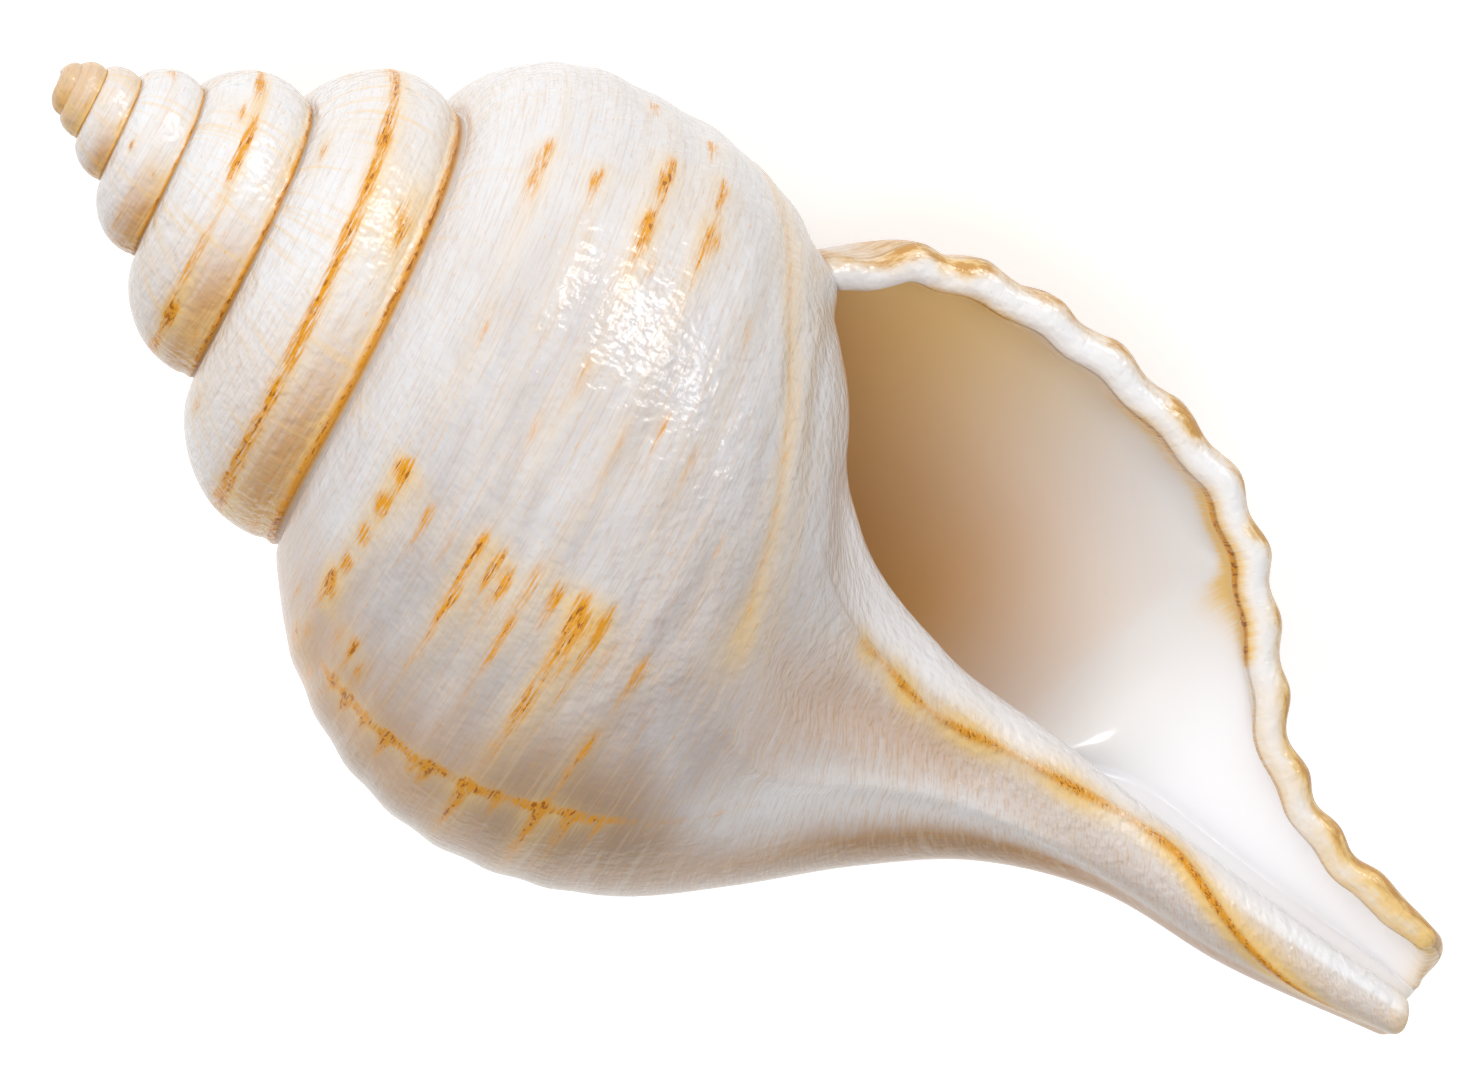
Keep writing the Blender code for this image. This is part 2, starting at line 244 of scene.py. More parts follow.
# The skin's directions: along the growth, and straight out of the shell.
def skinDirections(turn, place):
    ahead = np.minimum(turn + 0.01, shellShape["lip"])
    growth = plainSkin(ahead, place) - plainSkin(ahead - 0.02, place)
    low = np.maximum(place - 0.05, 0.0)
    high = np.minimum(place + 0.05, float(tipPlace))
    out = np.cross(growth, plainSkin(turn, high) - plainSkin(turn, low))
    out /= np.linalg.norm(out, axis=1)[:, None]
    growth /= np.linalg.norm(growth, axis=1)[:, None]
    return growth, out


# How finely the surface is divided: from which half turn on, columns in a half turn, rows.
shellGrid = {
    "stages": (
        (-4.0, 18, 14), (0.0, 26, 18), (2.0, 38, 22), (4.0, 56, 28), (6.0, 96, 44),
        (8.0, 170, 216), (8.95, 110, 130), (9.8, 160, 300),
    ),
    "evenFrom": 9.8,
    "rimRows": 5,
    "beadSteps": 12,
    "fineSteps": 12,  # behind the bead, as fine as the lip
    "fineShare": 0.035,  # of the hollow's depth
    "deepSteps": 34,
    "deepRows": 110,
    "softSteps": 60,  # the hollow is eased this many times
    "softShare": 0.6,
    "softDepth": (0.065, 0.11),  # half turns in from the lip
    "softEnd": (11.3, 11.9),  # and less so from here to the canal's tip
}

# The lip's rounded, ruffled edge, in millimetres.
lipShape = {
    "bead": (2.0, 1.75),  # radius in the body, and at the tip
    "ruffleOut": 0.42,
    "ruffleForward": 0.3,
    "ruffleInside": 0.5,  # how much of the ruffle is left where the bead meets the mouth
    "crests": (0.8, 9.7, 17.2, 25.2, 33.4, 42.6, 50.8, 59.4, 67.0, 74.2, 82.8, 89.6, 95.5),
    "starts": (0.6, 4.5),  # the ruffle comes in over this length
    "firstInside": 0.6,  # the place on the lip where its inner side meets the wall
    "sink": (1.0, 1.3),  # the bead's end sinks into the wall by this much, over this length
    "behind": 0.085,  # half turns over which the ruffle fades, outside
    "behindInside": 0.05,
    "wallStep": 0.04,  # half turns from the wall's edge to where the bead ends on it
    "depths": (0.01, 0.05),  # how deep the bead's two faces count as being, in half turns
}


def rimRaise(toTip):
    return shellShape["tipRaise"] * hump(toTip, 1.1, 1.6)


# Rows down a whorl, closer together near its two sutures.
def rowShares(count):
    t = np.arange(count) / count
    return t - 0.7 * np.sin(2 * math.pi * t) / (2 * math.pi)


# Rows of the last turn, closer near the suture and round the canal's tip. Those of
# the body are closer than those of the canal, apart from near the lip.
def lastRowPlaces(count, turn):
    rim = shellGrid["rimRows"]
    t = np.linspace(0, 1, count - rim)
    spread = t - 0.16 * np.sin(2 * math.pi * t) / (2 * math.pi)
    spread = spread * (1 - 0.25 * hump(t, 0, 0.1))
    if turn < shellGrid["evenFrom"]:
        spread = spread + 0.22 * (spread * spread - spread)
    lengths = profilesAt(np.array([turn]))[1][0]
    size = shellShape["tipRim"]
    angles = np.arange(1, rim + 1) * math.pi / 2 / rim
    down = np.concatenate([spread * (lengths[-1] - size), lengths[-1] - size * (1 - np.sin(angles))])
    return np.interp(down, lengths, np.arange(tipPlace + 1.0))


# How far the skin curls in to make the tip's round rim.
def rimInset(toTip):
    size = shellShape["tipRim"]
    inside = np.clip(1 - toTip / size, 0, 1)
    return size * (1 - np.sqrt(1 - inside * inside))


def thicknessAt(along):
    body, tip = shellShape["thickness"]
    return body + (tip - body) * easeBetween(120, 160, along)


def hollowDepthAt(along):
    mouth, canal = shellShape["hollowDepth"]
    return mouth + (canal - mouth) * easeBetween(*shellShape["canalRange"], along)


def lipInside(place):
    first = lipShape["firstInside"]
    return first + place * (tipPlace - first) / tipPlace


def beadRadius(place):
    body, tip = lipShape["bead"]
    radius = body + (tip - body) * easeBetween(9, 11.4, place) - 0.5 * easeBetween(11.5, 12, place)
    return radius * (0.88 + 0.12 * easeBetween(0.6, 3.0, place))


# The ruffle's swing at a distance down the lip, from -1 to 1, and how strong it is there.
def ruffleAt(down):
    crests = np.array(lipShape["crests"])
    phase = np.interp(down, crests, np.arange(len(crests)))
    fade = within(down, *lipShape["starts"], crests[-1], crests[-1] + 4)
    return np.cos(2 * math.pi * phase) * fade * (0.9 + 0.2 * np.sin(phase * 2.1))


# Low forms that stand on the plain skin or sink into it, in millimetres. Those that
# come and go have four values: where they start, are whole, fade and are gone.
reliefShape = {
    "fullSize": 19.0,  # whorls of a smaller radius have finer forms
    "cord": ((0.24, 0.75, 0.5), (-0.16, 2.1, 0.7)),  # over each suture: height, distance up, width
    "groove": (0.55, 0.75),  # under it: depth and width
    "drawIn": 0.5,  # the last spire whorls draw in towards their cord
    "drawInTurns": (5.5, 6.2, 7.2, 7.8),
    "drawInPlaces": (3.0, 4.3),
    "swell": (0.12, 6.1, 11.2),  # low swells down the last whorl: height, step, first
    "swellReach": (7.0, 12.0, 46.0, 56.0),
    "cornerFlat": (1.35, (8.05, 0.13), (3.75, 0.85)),  # above the mouth's upper corner
    "restFlat": (0.35, (9.0, 0.3), (1.5, 3.0)),  # where it rests on the floor
    # How far the wall draws in beside the mouth, by place.
    "mouthEdge": (
        (4.2, 0), (5, 2.0), (5.5, 2.6), (6, 2.8), (6.45, 3.1), (6.9, 3.6),
        (7.3, 3.3), (7.65, 2.3), (8.3, 1.0), (9, 0),
    ),
    "mouthEdgeTurns": (8.0, 8.13, 8.24, 8.48),
    "mouthEdgeLead": (0.12, (5.2, 6.0)),  # it starts this much sooner, from one place to another
    # The folds beside the mouth: their line by half turn and place, then offset, width, height.
    "foldLine": (
        (8.0, 4.25), (8.13, 4.5), (8.25, 4.68), (8.33, 4.99), (8.42, 5.33), (8.55, 5.72), (8.7, 6.2),
    ),
    "folds": (
        (-0.42, 0.16, 0.12), (0.02, 0.07, -0.22), (0.26, 0.13, 0.26), (0.62, 0.2, -0.12), (1.0, 0.2, 0.14),
    ),
    "foldTurns": (7.9, 8.1, 8.45, 8.68),
    # Down the columella: a golden ridge, a crest beyond it and a basin between them. Their
    # lines are place and half turn, their forms are height and width.
    "columellaTurns": (7.9, 9.4),
    "ridgeLine": (
        (6.0, 8.41), (6.5, 8.43), (7.2, 8.45), (8.2, 8.46), (9.1, 8.485), (9.5, 8.435), (9.9, 8.39),
        (10.4, 8.335), (10.6, 8.345), (10.85, 8.475), (11.13, 8.615), (11.4, 8.735), (12.0, 8.9),
    ),
    "ridge": (0.42, 0.55),
    "ridgePlaces": (5.9, 7.2, 11.2, 11.9),
    "crestLine": (
        (5.4, 8.58), (5.75, 8.608), (6.67, 8.691), (7.58, 8.735), (8.65, 8.74), (9.6, 8.72), (11, 8.7),
    ),
    "crest": (0.6, 1.1),
    "crestPlaces": (5.3, 6.6, 9.2, 10.6),
    "basin": (-1.25, 2.3),
    "basinPlaces": (5.6, 7.4, 9.2, 10.4),
}


def lineAt(table, at):
    table = np.array(table, float)
    return curveThrough(table[:, 0], table[:, 1:], np.clip(at, table[0, 0], table[-1, 0]))[:, 0]


# How far a point is round the skin from a half turn, in millimetres.
def roundFrom(middle, turn, radius):
    return (turn - middle) * math.pi * np.maximum(radius, 3.0)


def onColumella(turn):
    first, end = reliefShape["columellaTurns"]
    return (turn > first) & (turn < end)


def spireRelief(turn, place, fromTop, toLow):
    size = np.clip(sutureAt(turn)[:, 1] / reliefShape["fullSize"], 0.12, 1.0)
    # The cord on each whorl's lower edge, and the groove where the next whorl comes out under it.
    height = np.zeros(len(turn))
    for high, at, wide in reliefShape["cord"]:
        height += (turn < shellShape["wall"]) * size * high * hump(toLow / size, at, wide)
    deep, wide = reliefShape["groove"]
    height -= size * deep * hump(fromTop / size, 0.0, wide)
    drawn = within(turn, *reliefShape["drawInTurns"]) * easeBetween(*reliefShape["drawInPlaces"], place)
    return height - reliefShape["drawIn"] * size * drawn


def mouthRelief(turn, place):
    starts, whole, fades, gone = reliefShape["mouthEdgeTurns"]
    lead, leadPlaces = reliefShape["mouthEdgeLead"]
    sooner = lead * easeBetween(*leadPlaces, place)
    drawn = within(turn, starts - sooner, whole - sooner, fades, gone)
    height = -drawn * lineAt(reliefShape["mouthEdge"], place)
    offset = place - lineAt(reliefShape["foldLine"], turn)
    near = within(turn, *reliefShape["foldTurns"])
    for middle, wide, high in reliefShape["folds"]:
        height += near * high * hump(offset, middle, wide)
    return height


def columellaRelief(turn, place, radius):
    ridge = lineAt(reliefShape["ridgeLine"], place)
    crest = lineAt(reliefShape["crestLine"], place)
    height = np.zeros(len(turn))
    for name, middle in (("ridge", ridge), ("crest", crest), ("basin", 0.5 * (ridge + crest))):
        high, wide = reliefShape[name]
        shown = onColumella(turn) * within(place, *reliefShape[name + "Places"])
        height += shown * high * hump(roundFrom(middle, turn, radius), 0, wide)
    return height


def reliefAt(turn, place, radius, fromTop, toLow):
    height = spireRelief(turn, place, fromTop, toLow)
    swell, step, first = reliefShape["swell"]
    onBody = easeBetween(7.7, 8.05, turn) * within(fromTop, *reliefShape["swellReach"])
    height += onBody * swell * np.cos(2 * math.pi * (fromTop - first) / step)
    deep, middleTurn, middlePlace = reliefShape["cornerFlat"]
    height -= deep * hump(turn, *middleTurn) * hump(place, *middlePlace)
    deep, middleTurn, fromPlace = reliefShape["restFlat"]
    height -= deep * hump(turn, *middleTurn) * easeBetween(*fromPlace, place)
    return height + mouthRelief(turn, place) + columellaRelief(turn, place, radius)


# The skin as it shows, with its relief. Returns points, and what the finish needs to know there.
def finishedSkin(turn, place):
    along, radius, fromTop, toLow, toTip = sectionAt(turn, place)
    points = aroundAxis(turn, along, radius)
    growth, out = skinDirections(turn, place)
    height = reliefAt(turn, place, radius, fromTop, toLow) - rimInset(toTip)
    points = points + out * height[:, None]
    behind = (shellShape["lip"] - turn) / lipShape["behind"]
    swing = ruffleAt(fromTop) * np.exp(-np.maximum(behind, 0) ** 1.3) * (turn > 9.0)
    points = points + out * (swing * lipShape["ruffleOut"])[:, None]
    points = points + growth * (swing * lipShape["ruffleForward"])[:, None]
    return points, np.stack([turn, place, fromTop, toLow], axis=1)


def cornerPlaceAt(turn):
    lengths = profilesAt(turn)[1]
    share = shellShape["mouthCorner"] / (lengths[:, joinPlace + 1] - lengths[:, joinPlace])
    return joinPlace + np.minimum(share, 0.9)


def cornerLine(turn, share):
    return plainSkin(turn, joinPlace + (cornerPlaceAt(turn) - joinPlace) * share)


# How deep the hollow goes in each row, found where that row ends.
def settledDepth(turn, place):
    back = np.full(len(place), shellShape["hollowDepth"][0])
    for _ in range(16):
        back = 0.5 * (back + hollowDepthAt(sectionAt(turn - back, place)[0]))
    return back


# Both sides of the canal draw together at its floor.
def drawToFloor(points, turn, share):
    along = points[:, 0] / shellShape["lengthen"]
    weight = easeBetween(*shellShape["canalRange"], along) * easeBetween(0.12, 1.0, share)
    floorRadius = curveThrough(floorTable[:, 0], floorTable[:, 1:], along)[:, 0]
    floorRadius = floorRadius - shellShape["tipRaise"] * hump(along, 164.8, 1.8)
    target = aroundAxis(turn, along, floorRadius)
    return points + (target - points) * weight[:, None]


# The rounded edge of the lip: part 0 is its outer face, part 1 its inner face.
def beadRing(place, part):
    inside = place + (lipInside(place) - place) * part
    turn = np.full(len(place), shellShape["lip"])
    growth, out = skinDirections(turn, inside)
    along, radius, fromTop, _, toTip = sectionAt(turn, inside)
    size = beadRadius(inside)
    rounded = np.maximum(size - rimInset(toTip), 0.0)
    angle = math.pi * part
    points = aroundAxis(turn, along, radius)
    points = points + out * (math.cos(angle) * rounded - size)[:, None]
    points = points + growth * (math.sin(angle) * rounded)[:, None]
    swing = ruffleAt(fromTop) * (1 - (1 - lipShape["ruffleInside"]) * part)
    points = points + out * (swing * lipShape["ruffleOut"])[:, None]
    points = points + growth * (swing * lipShape["ruffleForward"])[:, None]
    sink, reach = lipShape["sink"]
    sinking = sink * math.sin(math.pi * part) * (1 - easeBetween(0, reach, fromTop - fromTop[0]))
    points = points + np.cross(growth, out) * sinking[:, None]
    points[0] = cornerLine(np.array([shellShape["wall"] - lipShape["wallStep"] * part]), part)[0]
    return points, fromTop


# The lip's inner side, from the bead back to the deep end of the hollow.
def lipDeepRing(place, back, share):
    inside = lipInside(place)
    turn = shellShape["lip"] - back * share
    growth, out = skinDirections(turn, inside)
    along, radius, fromTop, _, toTip = sectionAt(turn, inside)
    bead = 2 * beadRadius(inside)
    thick = bead + (thicknessAt(along) - bead) * easeBetween(0, 0.25, share)
    thick = thick - rimInset(toTip) + rimRaise(toTip) * easeBetween(0, 0.15, share)
    points = aroundAxis(turn, along, radius) - out * thick[:, None]
    swing = ruffleAt(sectionAt(np.full(len(place), 10.0), inside)[2])
    swing = swing * lipShape["ruffleInside"] * np.exp(-((share * back) / lipShape["behindInside"]) ** 1.3)
    points = points + out * (swing * lipShape["ruffleOut"])[:, None]
    points = points + growth * (swing * lipShape["ruffleForward"])[:, None]
    points = drawToFloor(points, turn, share)
    start = shellShape["wall"] - lipShape["wallStep"]
    points[0] = cornerLine(np.array([start - back[0] * share]), 1.0)[0]
    return points, fromTop


# The older wall and the columella, facing the lip.
def wallRing(place, part, back, share):
    turn = np.full(len(place), shellShape["wall"] - lipShape["wallStep"] * part) - back * share
    top = joinPlace + (cornerPlaceAt(turn) - joinPlace) * part
    lowered = top + (place - joinPlace) * (tipPlace - top) / (tipPlace - joinPlace)
    points, marks = finishedSkin(turn, lowered)
    if share > 0:
        points[:, 0] += shellShape["wallTipReach"] * share * easeBetween(10.9, 12.0, lowered)
        points = drawToFloor(points, turn, share)
    return points, marks


# Triangles between two lines of vertices whose keys both rise.
def stitchLines(first, firstKeys, second, secondKeys):
    faces = []
    i = 0
    j = 0
    while i < len(first) - 1 or j < len(second) - 1:
        stepFirst = j == len(second) - 1
        if i < len(first) - 1 and j < len(second) - 1:
            stepFirst = firstKeys[i] + firstKeys[i + 1] <= secondKeys[j] + secondKeys[j + 1]
        if stepFirst:
            faces.append((first[i], second[j], first[i + 1]))
            i += 1
        else:
            faces.append((first[i], second[j], second[j + 1]))
            j += 1
    return faces


def joinLines(first, firstKeys, second, secondKeys):
    if len(first) != len(second):
        return stitchLines(first, firstKeys, second, secondKeys)
    pairs = []
    for i in range(len(first) - 1):
        pairs.append((first[i], second[i], second[i + 1], first[i + 1]))
    return pairs


def nearestStitch(first, second, points):
    faces = []
    i = 0
    j = 0
    while i < len(first) - 1 or j < len(second) - 1:
        onFirst = math.inf
        onSecond = math.inf
        if i < len(first) - 1:
            onFirst = np.linalg.norm(points[first[i + 1]] - points[second[j]])
        if j < len(second) - 1:
            onSecond = np.linalg.norm(points[first[i]] - points[second[j + 1]])
        if onFirst <= onSecond:
            faces.append((first[i], second[j], first[i + 1]))
            i += 1
        else:
            faces.append((first[i], second[j], second[j + 1]))
            j += 1
    return faces


# Adds points to the growing list, with what the finish needs to know at each of them:
# half turn, place, distance down the whorl, distance to its lower edge, and depth.
def addPoints(store, points, turn, place, down, toLow, depth):
    start = store["count"]
    size = len(points)
    values = (turn, place, down, toLow, depth)
    columns = [np.broadcast_to(np.asarray(value, float), (size,)) for value in values]
    store["points"].append(points)
    store["marks"].append(np.stack(columns, axis=1))
    store["count"] += size
    return list(range(start, store["count"]))


def columnTurns():
    stages = shellGrid["stages"]
    ends = [stage[0] for stage in stages[1:]] + [shellShape["lip"]]
    turns = []
    for (start, perHalf, rows), end in zip(stages, ends):
        count = max(int(round((end - start) * perHalf)), 1)
        for k in range(count):
            turns.append((start + (end - start) * k / count, rows))
    turns.append((shellShape["lip"], stages[-1][2]))
    return turns


def growOutside(store):
    columns = []
    for turn, rows in columnTurns():
        if turn < shellShape["wall"]:
            lengths = profilesAt(np.array([turn]))[1][0]
            keys = rowShares(rows)
            place = np.interp(keys * lengths[joinPlace], lengths, np.arange(tipPlace + 1.0))
        else:
            place = lastRowPlaces(rows, turn)
            if turn == shellShape["wall"]:
                nearest = int(np.argmin(abs(place - joinPlace)))
                place[nearest] = joinPlace
            keys = place
        skin, marks = finishedSkin(np.full(len(place), turn), place)
        line = addPoints(store, skin, turn, place, marks[:, 2], marks[:, 3], 0.0)
        columns.append({"turn": turn, "line": line, "keys": keys, "place": place})
    return columns


def coverOutside(columns, store):
    faces = []
    wallAt = next(i for i, column in enumerate(columns) if column["turn"] == shellShape["wall"])
    wall = columns[wallAt]
    joinRow = int(np.argmin(abs(wall["place"] - joinPlace)))
    lip = columns[-1]
    # The wall's row at the join is the lip's first vertex.
    wall["line"][joinRow] = lip["line"][0]
    wallTop = wall["line"][:joinRow]
    lengths = profilesAt(np.array([wall["turn"]]))[1][0]
    topShares = np.interp(wall["place"][:joinRow], np.arange(tipPlace + 1.0), lengths) / lengths[joinPlace]
    for i in range(len(columns) - 1):
        here = columns[i]
        following = columns[i + 1]
        if i + 1 == wallAt:
            faces += stitchLines(here["line"], here["keys"], wallTop, topShares)
        else:
            faces += joinLines(here["line"], here["keys"], following["line"], following["keys"])
    # The suture: each whorl's lower edge is stitched to the top of the next whorl.
    upper = [column["line"][-1] for column in columns[:wallAt]] + [wallTop[-1]]
    upperKeys = [column["turn"] for column in columns[: wallAt + 1]]
    lower = [column["line"][0] for column in columns if column["turn"] >= shellShape["apex"] + 2]
    lowerKeys = [column["turn"] - 2 for column in columns if column["turn"] >= shellShape["apex"] + 2]
    faces += stitchLines(upper, upperKeys, lower, lowerKeys)
    # The apex.
    rim = [column["line"][0] for column in columns if column["turn"] <= shellShape["apex"] + 2]
    rim += columns[0]["line"][:0:-1]
    points = np.concatenate(store["points"])
    middle = points[rim].mean(axis=0) - np.array([0.5, 0, 0])
    top = addPoints(store, middle[None], shellShape["apex"], 0.0, 0.0, 2.0, 0.0)[0]
    faces += [(rim[k], top, rim[(k + 1) % len(rim)]) for k in range(len(rim))]
    return faces, wallAt, joinRow


# The steps back into the hollow: how far round the bead, then the share of the way back.
def hollowSteps():
    beadSteps = shellGrid["beadSteps"]
    fineSteps = shellGrid["fineSteps"]
    deepSteps = shellGrid["deepSteps"]
    fine = shellGrid["fineShare"]
    steps = [(k / beadSteps, 0.0) for k in range(1, beadSteps + 1)]
    steps += [(1.0, fine * k / fineSteps) for k in range(1, fineSteps + 1)]
    steps += [(1.0, fine + (1 - fine) * (k / deepSteps) ** 1.25) for k in range(1, deepSteps + 1)]
    return steps


def lineHollow(columns, wallAt, joinRow, store):
    lip = columns[-1]
    wall = columns[wallAt]
    lipPlaces = lip["place"]
    wallPlaces = wall["place"][joinRow:].copy()
    deepPlaces = lastRowPlaces(shellGrid["deepRows"], shellShape["lip"])
    fineBack = settledDepth(np.full(len(lipPlaces), shellShape["lip"]), lipInside(lipPlaces))
    deepBack = settledDepth(np.full(len(deepPlaces), shellShape["lip"]), lipInside(deepPlaces))
    wallEdge = shellShape["wall"] - lipShape["wallStep"]
    wallBack = settledDepth(np.full(len(wallPlaces), wallEdge), wallPlaces)
    fineBack[0] = deepBack[0] = wallBack[0]
    beadOut, beadIn = lipShape["depths"]
    outer = [(lip["line"], lipPlaces)]
    inner = [wall["line"][joinRow:]]
    for part, share in hollowSteps():
        beadDepth = beadOut + (beadIn - beadOut) * part
        if share == 0:
            place = lipPlaces
            turn = shellShape["lip"]
            depth = beadDepth
            points, down = beadRing(place, part)
        else:
            isFine = share <= shellGrid["fineShare"] + 1e-9
            place = lipPlaces if isFine else deepPlaces
            back = fineBack if isFine else deepBack
            turn = shellShape["lip"] - back * share
            depth = beadIn + back * share
            points, down = lipDeepRing(place, back, share)
        line = addPoints(store, points, turn, lipInside(place), down, noEdge, depth)
        outer.append((line, place))
        points, marks = wallRing(wallPlaces, part, wallBack, share)
        depth = beadDepth + wallBack * share
        line = addPoints(store, points[1:], marks[1:, 0], marks[1:, 1], marks[1:, 2], noEdge, -depth[1:])
        inner.append([outer[-1][0][0]] + line)
    faces = []
    for here, following in zip(outer, outer[1:]):
        faces += joinLines(here[0], here[1], following[0], following[1])
    for here, following in zip(inner, inner[1:]):
        faces += joinLines(following, wallPlaces, here, wallPlaces)
    points = np.concatenate(store["points"])
    faces += nearestStitch(outer[-1][0], inner[-1][1:], points)
    end = [line[-1] for line, _ in outer] + [line[-1] for line in inner[::-1]]
    skinEnd = [column["line"][-1] for column in columns[wallAt:][::-1]]
    faces += [face[::-1] for face in nearestStitch(skinEnd, end[1:-1], points)]
    return faces


# Eases the hollow's surface, so that the canal's two sides run into each other.
def softened(points, faces, weight):
    ends = np.array([(face[k - 1], face[k]) for face in faces for k in range(len(face))])
    ends = np.concatenate([ends, ends[:, ::-1]])
    ends = ends[weight[ends[:, 0]] > 0]
    count = np.maximum(np.bincount(ends[:, 0], minlength=len(points)), 1)
    points = points.copy()
    for _ in range(shellGrid["softSteps"]):
        total = [np.bincount(ends[:, 0], points[ends[:, 1], k], len(points)) for k in range(3)]
        pull = np.stack(total, axis=1) / count[:, None] - points
        points += shellGrid["softShare"] * weight[:, None] * pull
    return points


def laidDown(points):
    turned = Matrix.Rotation(math.radians(shellShape["pitch"]), 3, "Y")
    turned = turned @ Matrix.Rotation(math.radians(shellShape["roll"]), 3, "X")
    placed = (points @ np.array(turned).T + np.array(shellShape["shift"])) * 0.001
    placed[:, 2] = np.maximum(placed[:, 2], 0.0)  # it rests on the floor
    return placed


def meshFrom(name, points, faces):
    mesh = bpy.data.meshes.new(name)
    mesh.from_pydata(points.tolist(), [], faces)
    work = bmesh.new()
    work.from_mesh(mesh)
    bmesh.ops.recalc_face_normals(work, faces=work.faces)
    work.to_mesh(mesh)
    work.free()
    mesh.polygons.foreach_set("use_smooth", [True] * len(mesh.polygons))
    return mesh


def storeNumbers(mesh, name, values):
    layer = mesh.attributes.new(name, "FLOAT_VECTOR", "POINT")
    layer.data.foreach_set("vector", values.astype(np.float32).ravel())


# Where the shell's markings are. A streak is: half turn where it starts, distance
# down the whorl in millimetres, strength, and length of its tail in half turns.
markings = {
    "streaks": (
        (8.600, 12.5, 0.9, 0.03), (8.605, 14.6, 0.3, 0.04), (8.615, 16.9, 0.7, 0.03),
        (8.62, 20.0, 0.35, 0.03), (8.600, 23.0, 1.1, 0.05), (8.603, 25.2, 0.8, 0.04),
        (8.610, 26.8, 0.9, 0.035), (8.590, 29.2, 0.6, 0.06), (8.595, 31.8, 1.0, 0.02),
        (8.590, 34.4, 1.3, 0.05), (8.600, 35.5, 1.0, 0.06), (8.590, 37.2, 1.2, 0.05),
        (8.610, 39.2, 0.4, 0.04), (8.610, 43.0, 0.9, 0.035), (8.680, 34.8, 0.5, 0.10),
        (8.650, 23.4, 0.5, 0.09), (8.640, 29.5, 0.5, 0.07), (8.755, 11.2, 1.2, 0.03),
        (8.775, 17.4, 0.9, 0.03), (8.785, 15.2, 0.5, 0.03), (8.790, 19.3, 0.6, 0.03),
        (8.830, 8.0, 0.5, 0.05), (8.835, 12.0, 0.6, 0.05), (8.838, 17.5, 0.9, 0.015),
        (8.838, 19.8, 1.2, 0.02), (8.830, 22.6, 0.8, 0.015), (8.826, 25.4, 1.2, 0.02),
        (8.82, 28.8, 0.7, 0.015), (8.812, 30.5, 1.1, 0.02), (8.805, 34.6, 1.2, 0.06),
        (8.800, 38.0, 0.7, 0.02), (8.785, 42.4, 1.3, 0.07), (8.785, 45.5, 0.9, 0.05),
        (8.780, 48.7, 0.7, 0.02), (8.690, 42.4, 0.7, 0.09), (8.870, 10.5, 0.8, 0.05),
        (8.890, 14.5, 0.7, 0.05), (8.235, 11.6, 0.8, 0.05), (8.255, 17.5, 0.5, 0.03),
        (8.205, 24.0, 0.9, 0.05), (8.285, 23.6, 0.7, 0.04), (8.195, 29.8, 0.9, 0.05),
        (8.265, 29.4, 0.6, 0.05), (8.440, 12.8, 0.35, 0.04), (8.250, 10.5, 0.4, 0.02),
        (8.285, 11.0, 0.5, 0.02), (8.125, 28.0, 0.8, 0.03), (8.225, 23.5, 0.6, 0.02),
        (8.288, 23.3, 0.5, 0.015), (8.321, 25.4, 0.4, 0.01), (8.259, 30.6, 0.5, 0.015),
        (8.262, 17.0, 0.4, 0.02), (8.095, 21.5, 0.7, 0.03), (8.495, 22.0, 0.4, 0.02),
        (8.430, 33.0, 0.5, 0.03), (8.310, 37.0, 0.4, 0.03), (8.430, 23.8, 0.35, 0.05),
        (8.440, 37.0, 0.35, 0.05), (8.460, 30.0, 0.3, 0.05), (8.48, 43.8, 0.25, 0.06),
    ),
    "streakWidth": 0.5,
    "diagonal": (8.60, 8.78, 11.8),  # a spiral trail of dots between two half turns
    "spirals": (12.0, 17.5, 23.7, 29.6, 37.0),  # faint bands down the last whorl
    "growthRow": ((8.86, 12.0), (8.838, 20.0), (8.81, 31.0), (8.785, 42.5), (8.775, 52.0), (8.76, 66.0)),
    "backBands": (9.02, 9.19, 9.38, 9.57, 9.76, 9.9),  # rows of streaks over the back
    "backRows": (9.0, 62.0, 2.4),
    "backSeed": 11,
    "lipLine": (  # down the lip, strength of the gold line beside its bead
        (8, 0), (11, 0.2), (12.5, 0.9), (17, 0.75), (22, 0.85), (24, 0.35), (30, 0.3), (36, 0.35),
        (40, 0.75), (45, 0.5), (49, 0.45), (53, 0.85), (62, 1.15), (70, 1.15), (71.5, 0.25), (78, 0.5),
        (84, 0.6), (88, 0.25), (93, 0.6), (97, 0.5), (100, 0.4), (101.5, 1.0), (104, 0.5),
    ),
    "lipLineDepth": (0.0525, 0.006),  # half turns in from the lip, and its width
    "lipSpots": (  # down the lip, reach, strength
        (44.0, 1.8, 1.0), (41.5, 1.2, 0.6), (57.0, 1.6, 0.9), (15.0, 1.6, 0.8), (12.5, 1.2, 0.6),
        (7.5, 2.2, 0.5), (66.0, 1.5, 0.5), (75.0, 2.0, 0.6), (82.0, 2.5, 0.7), (90.0, 2.5, 0.7),
        (97.0, 2.5, 0.6),
    ),
    "midPlace": (2.9, 0.3, 0.45),  # the dotted line round each whorl: place, wander, where from
    "spireBands": (-3.0, 8.0, 0.43),  # stray spots on the spire: first and last half turn, step
    "spotPlaces": (0.8, 1.5, 2.2, 3.4, 4.1),
}


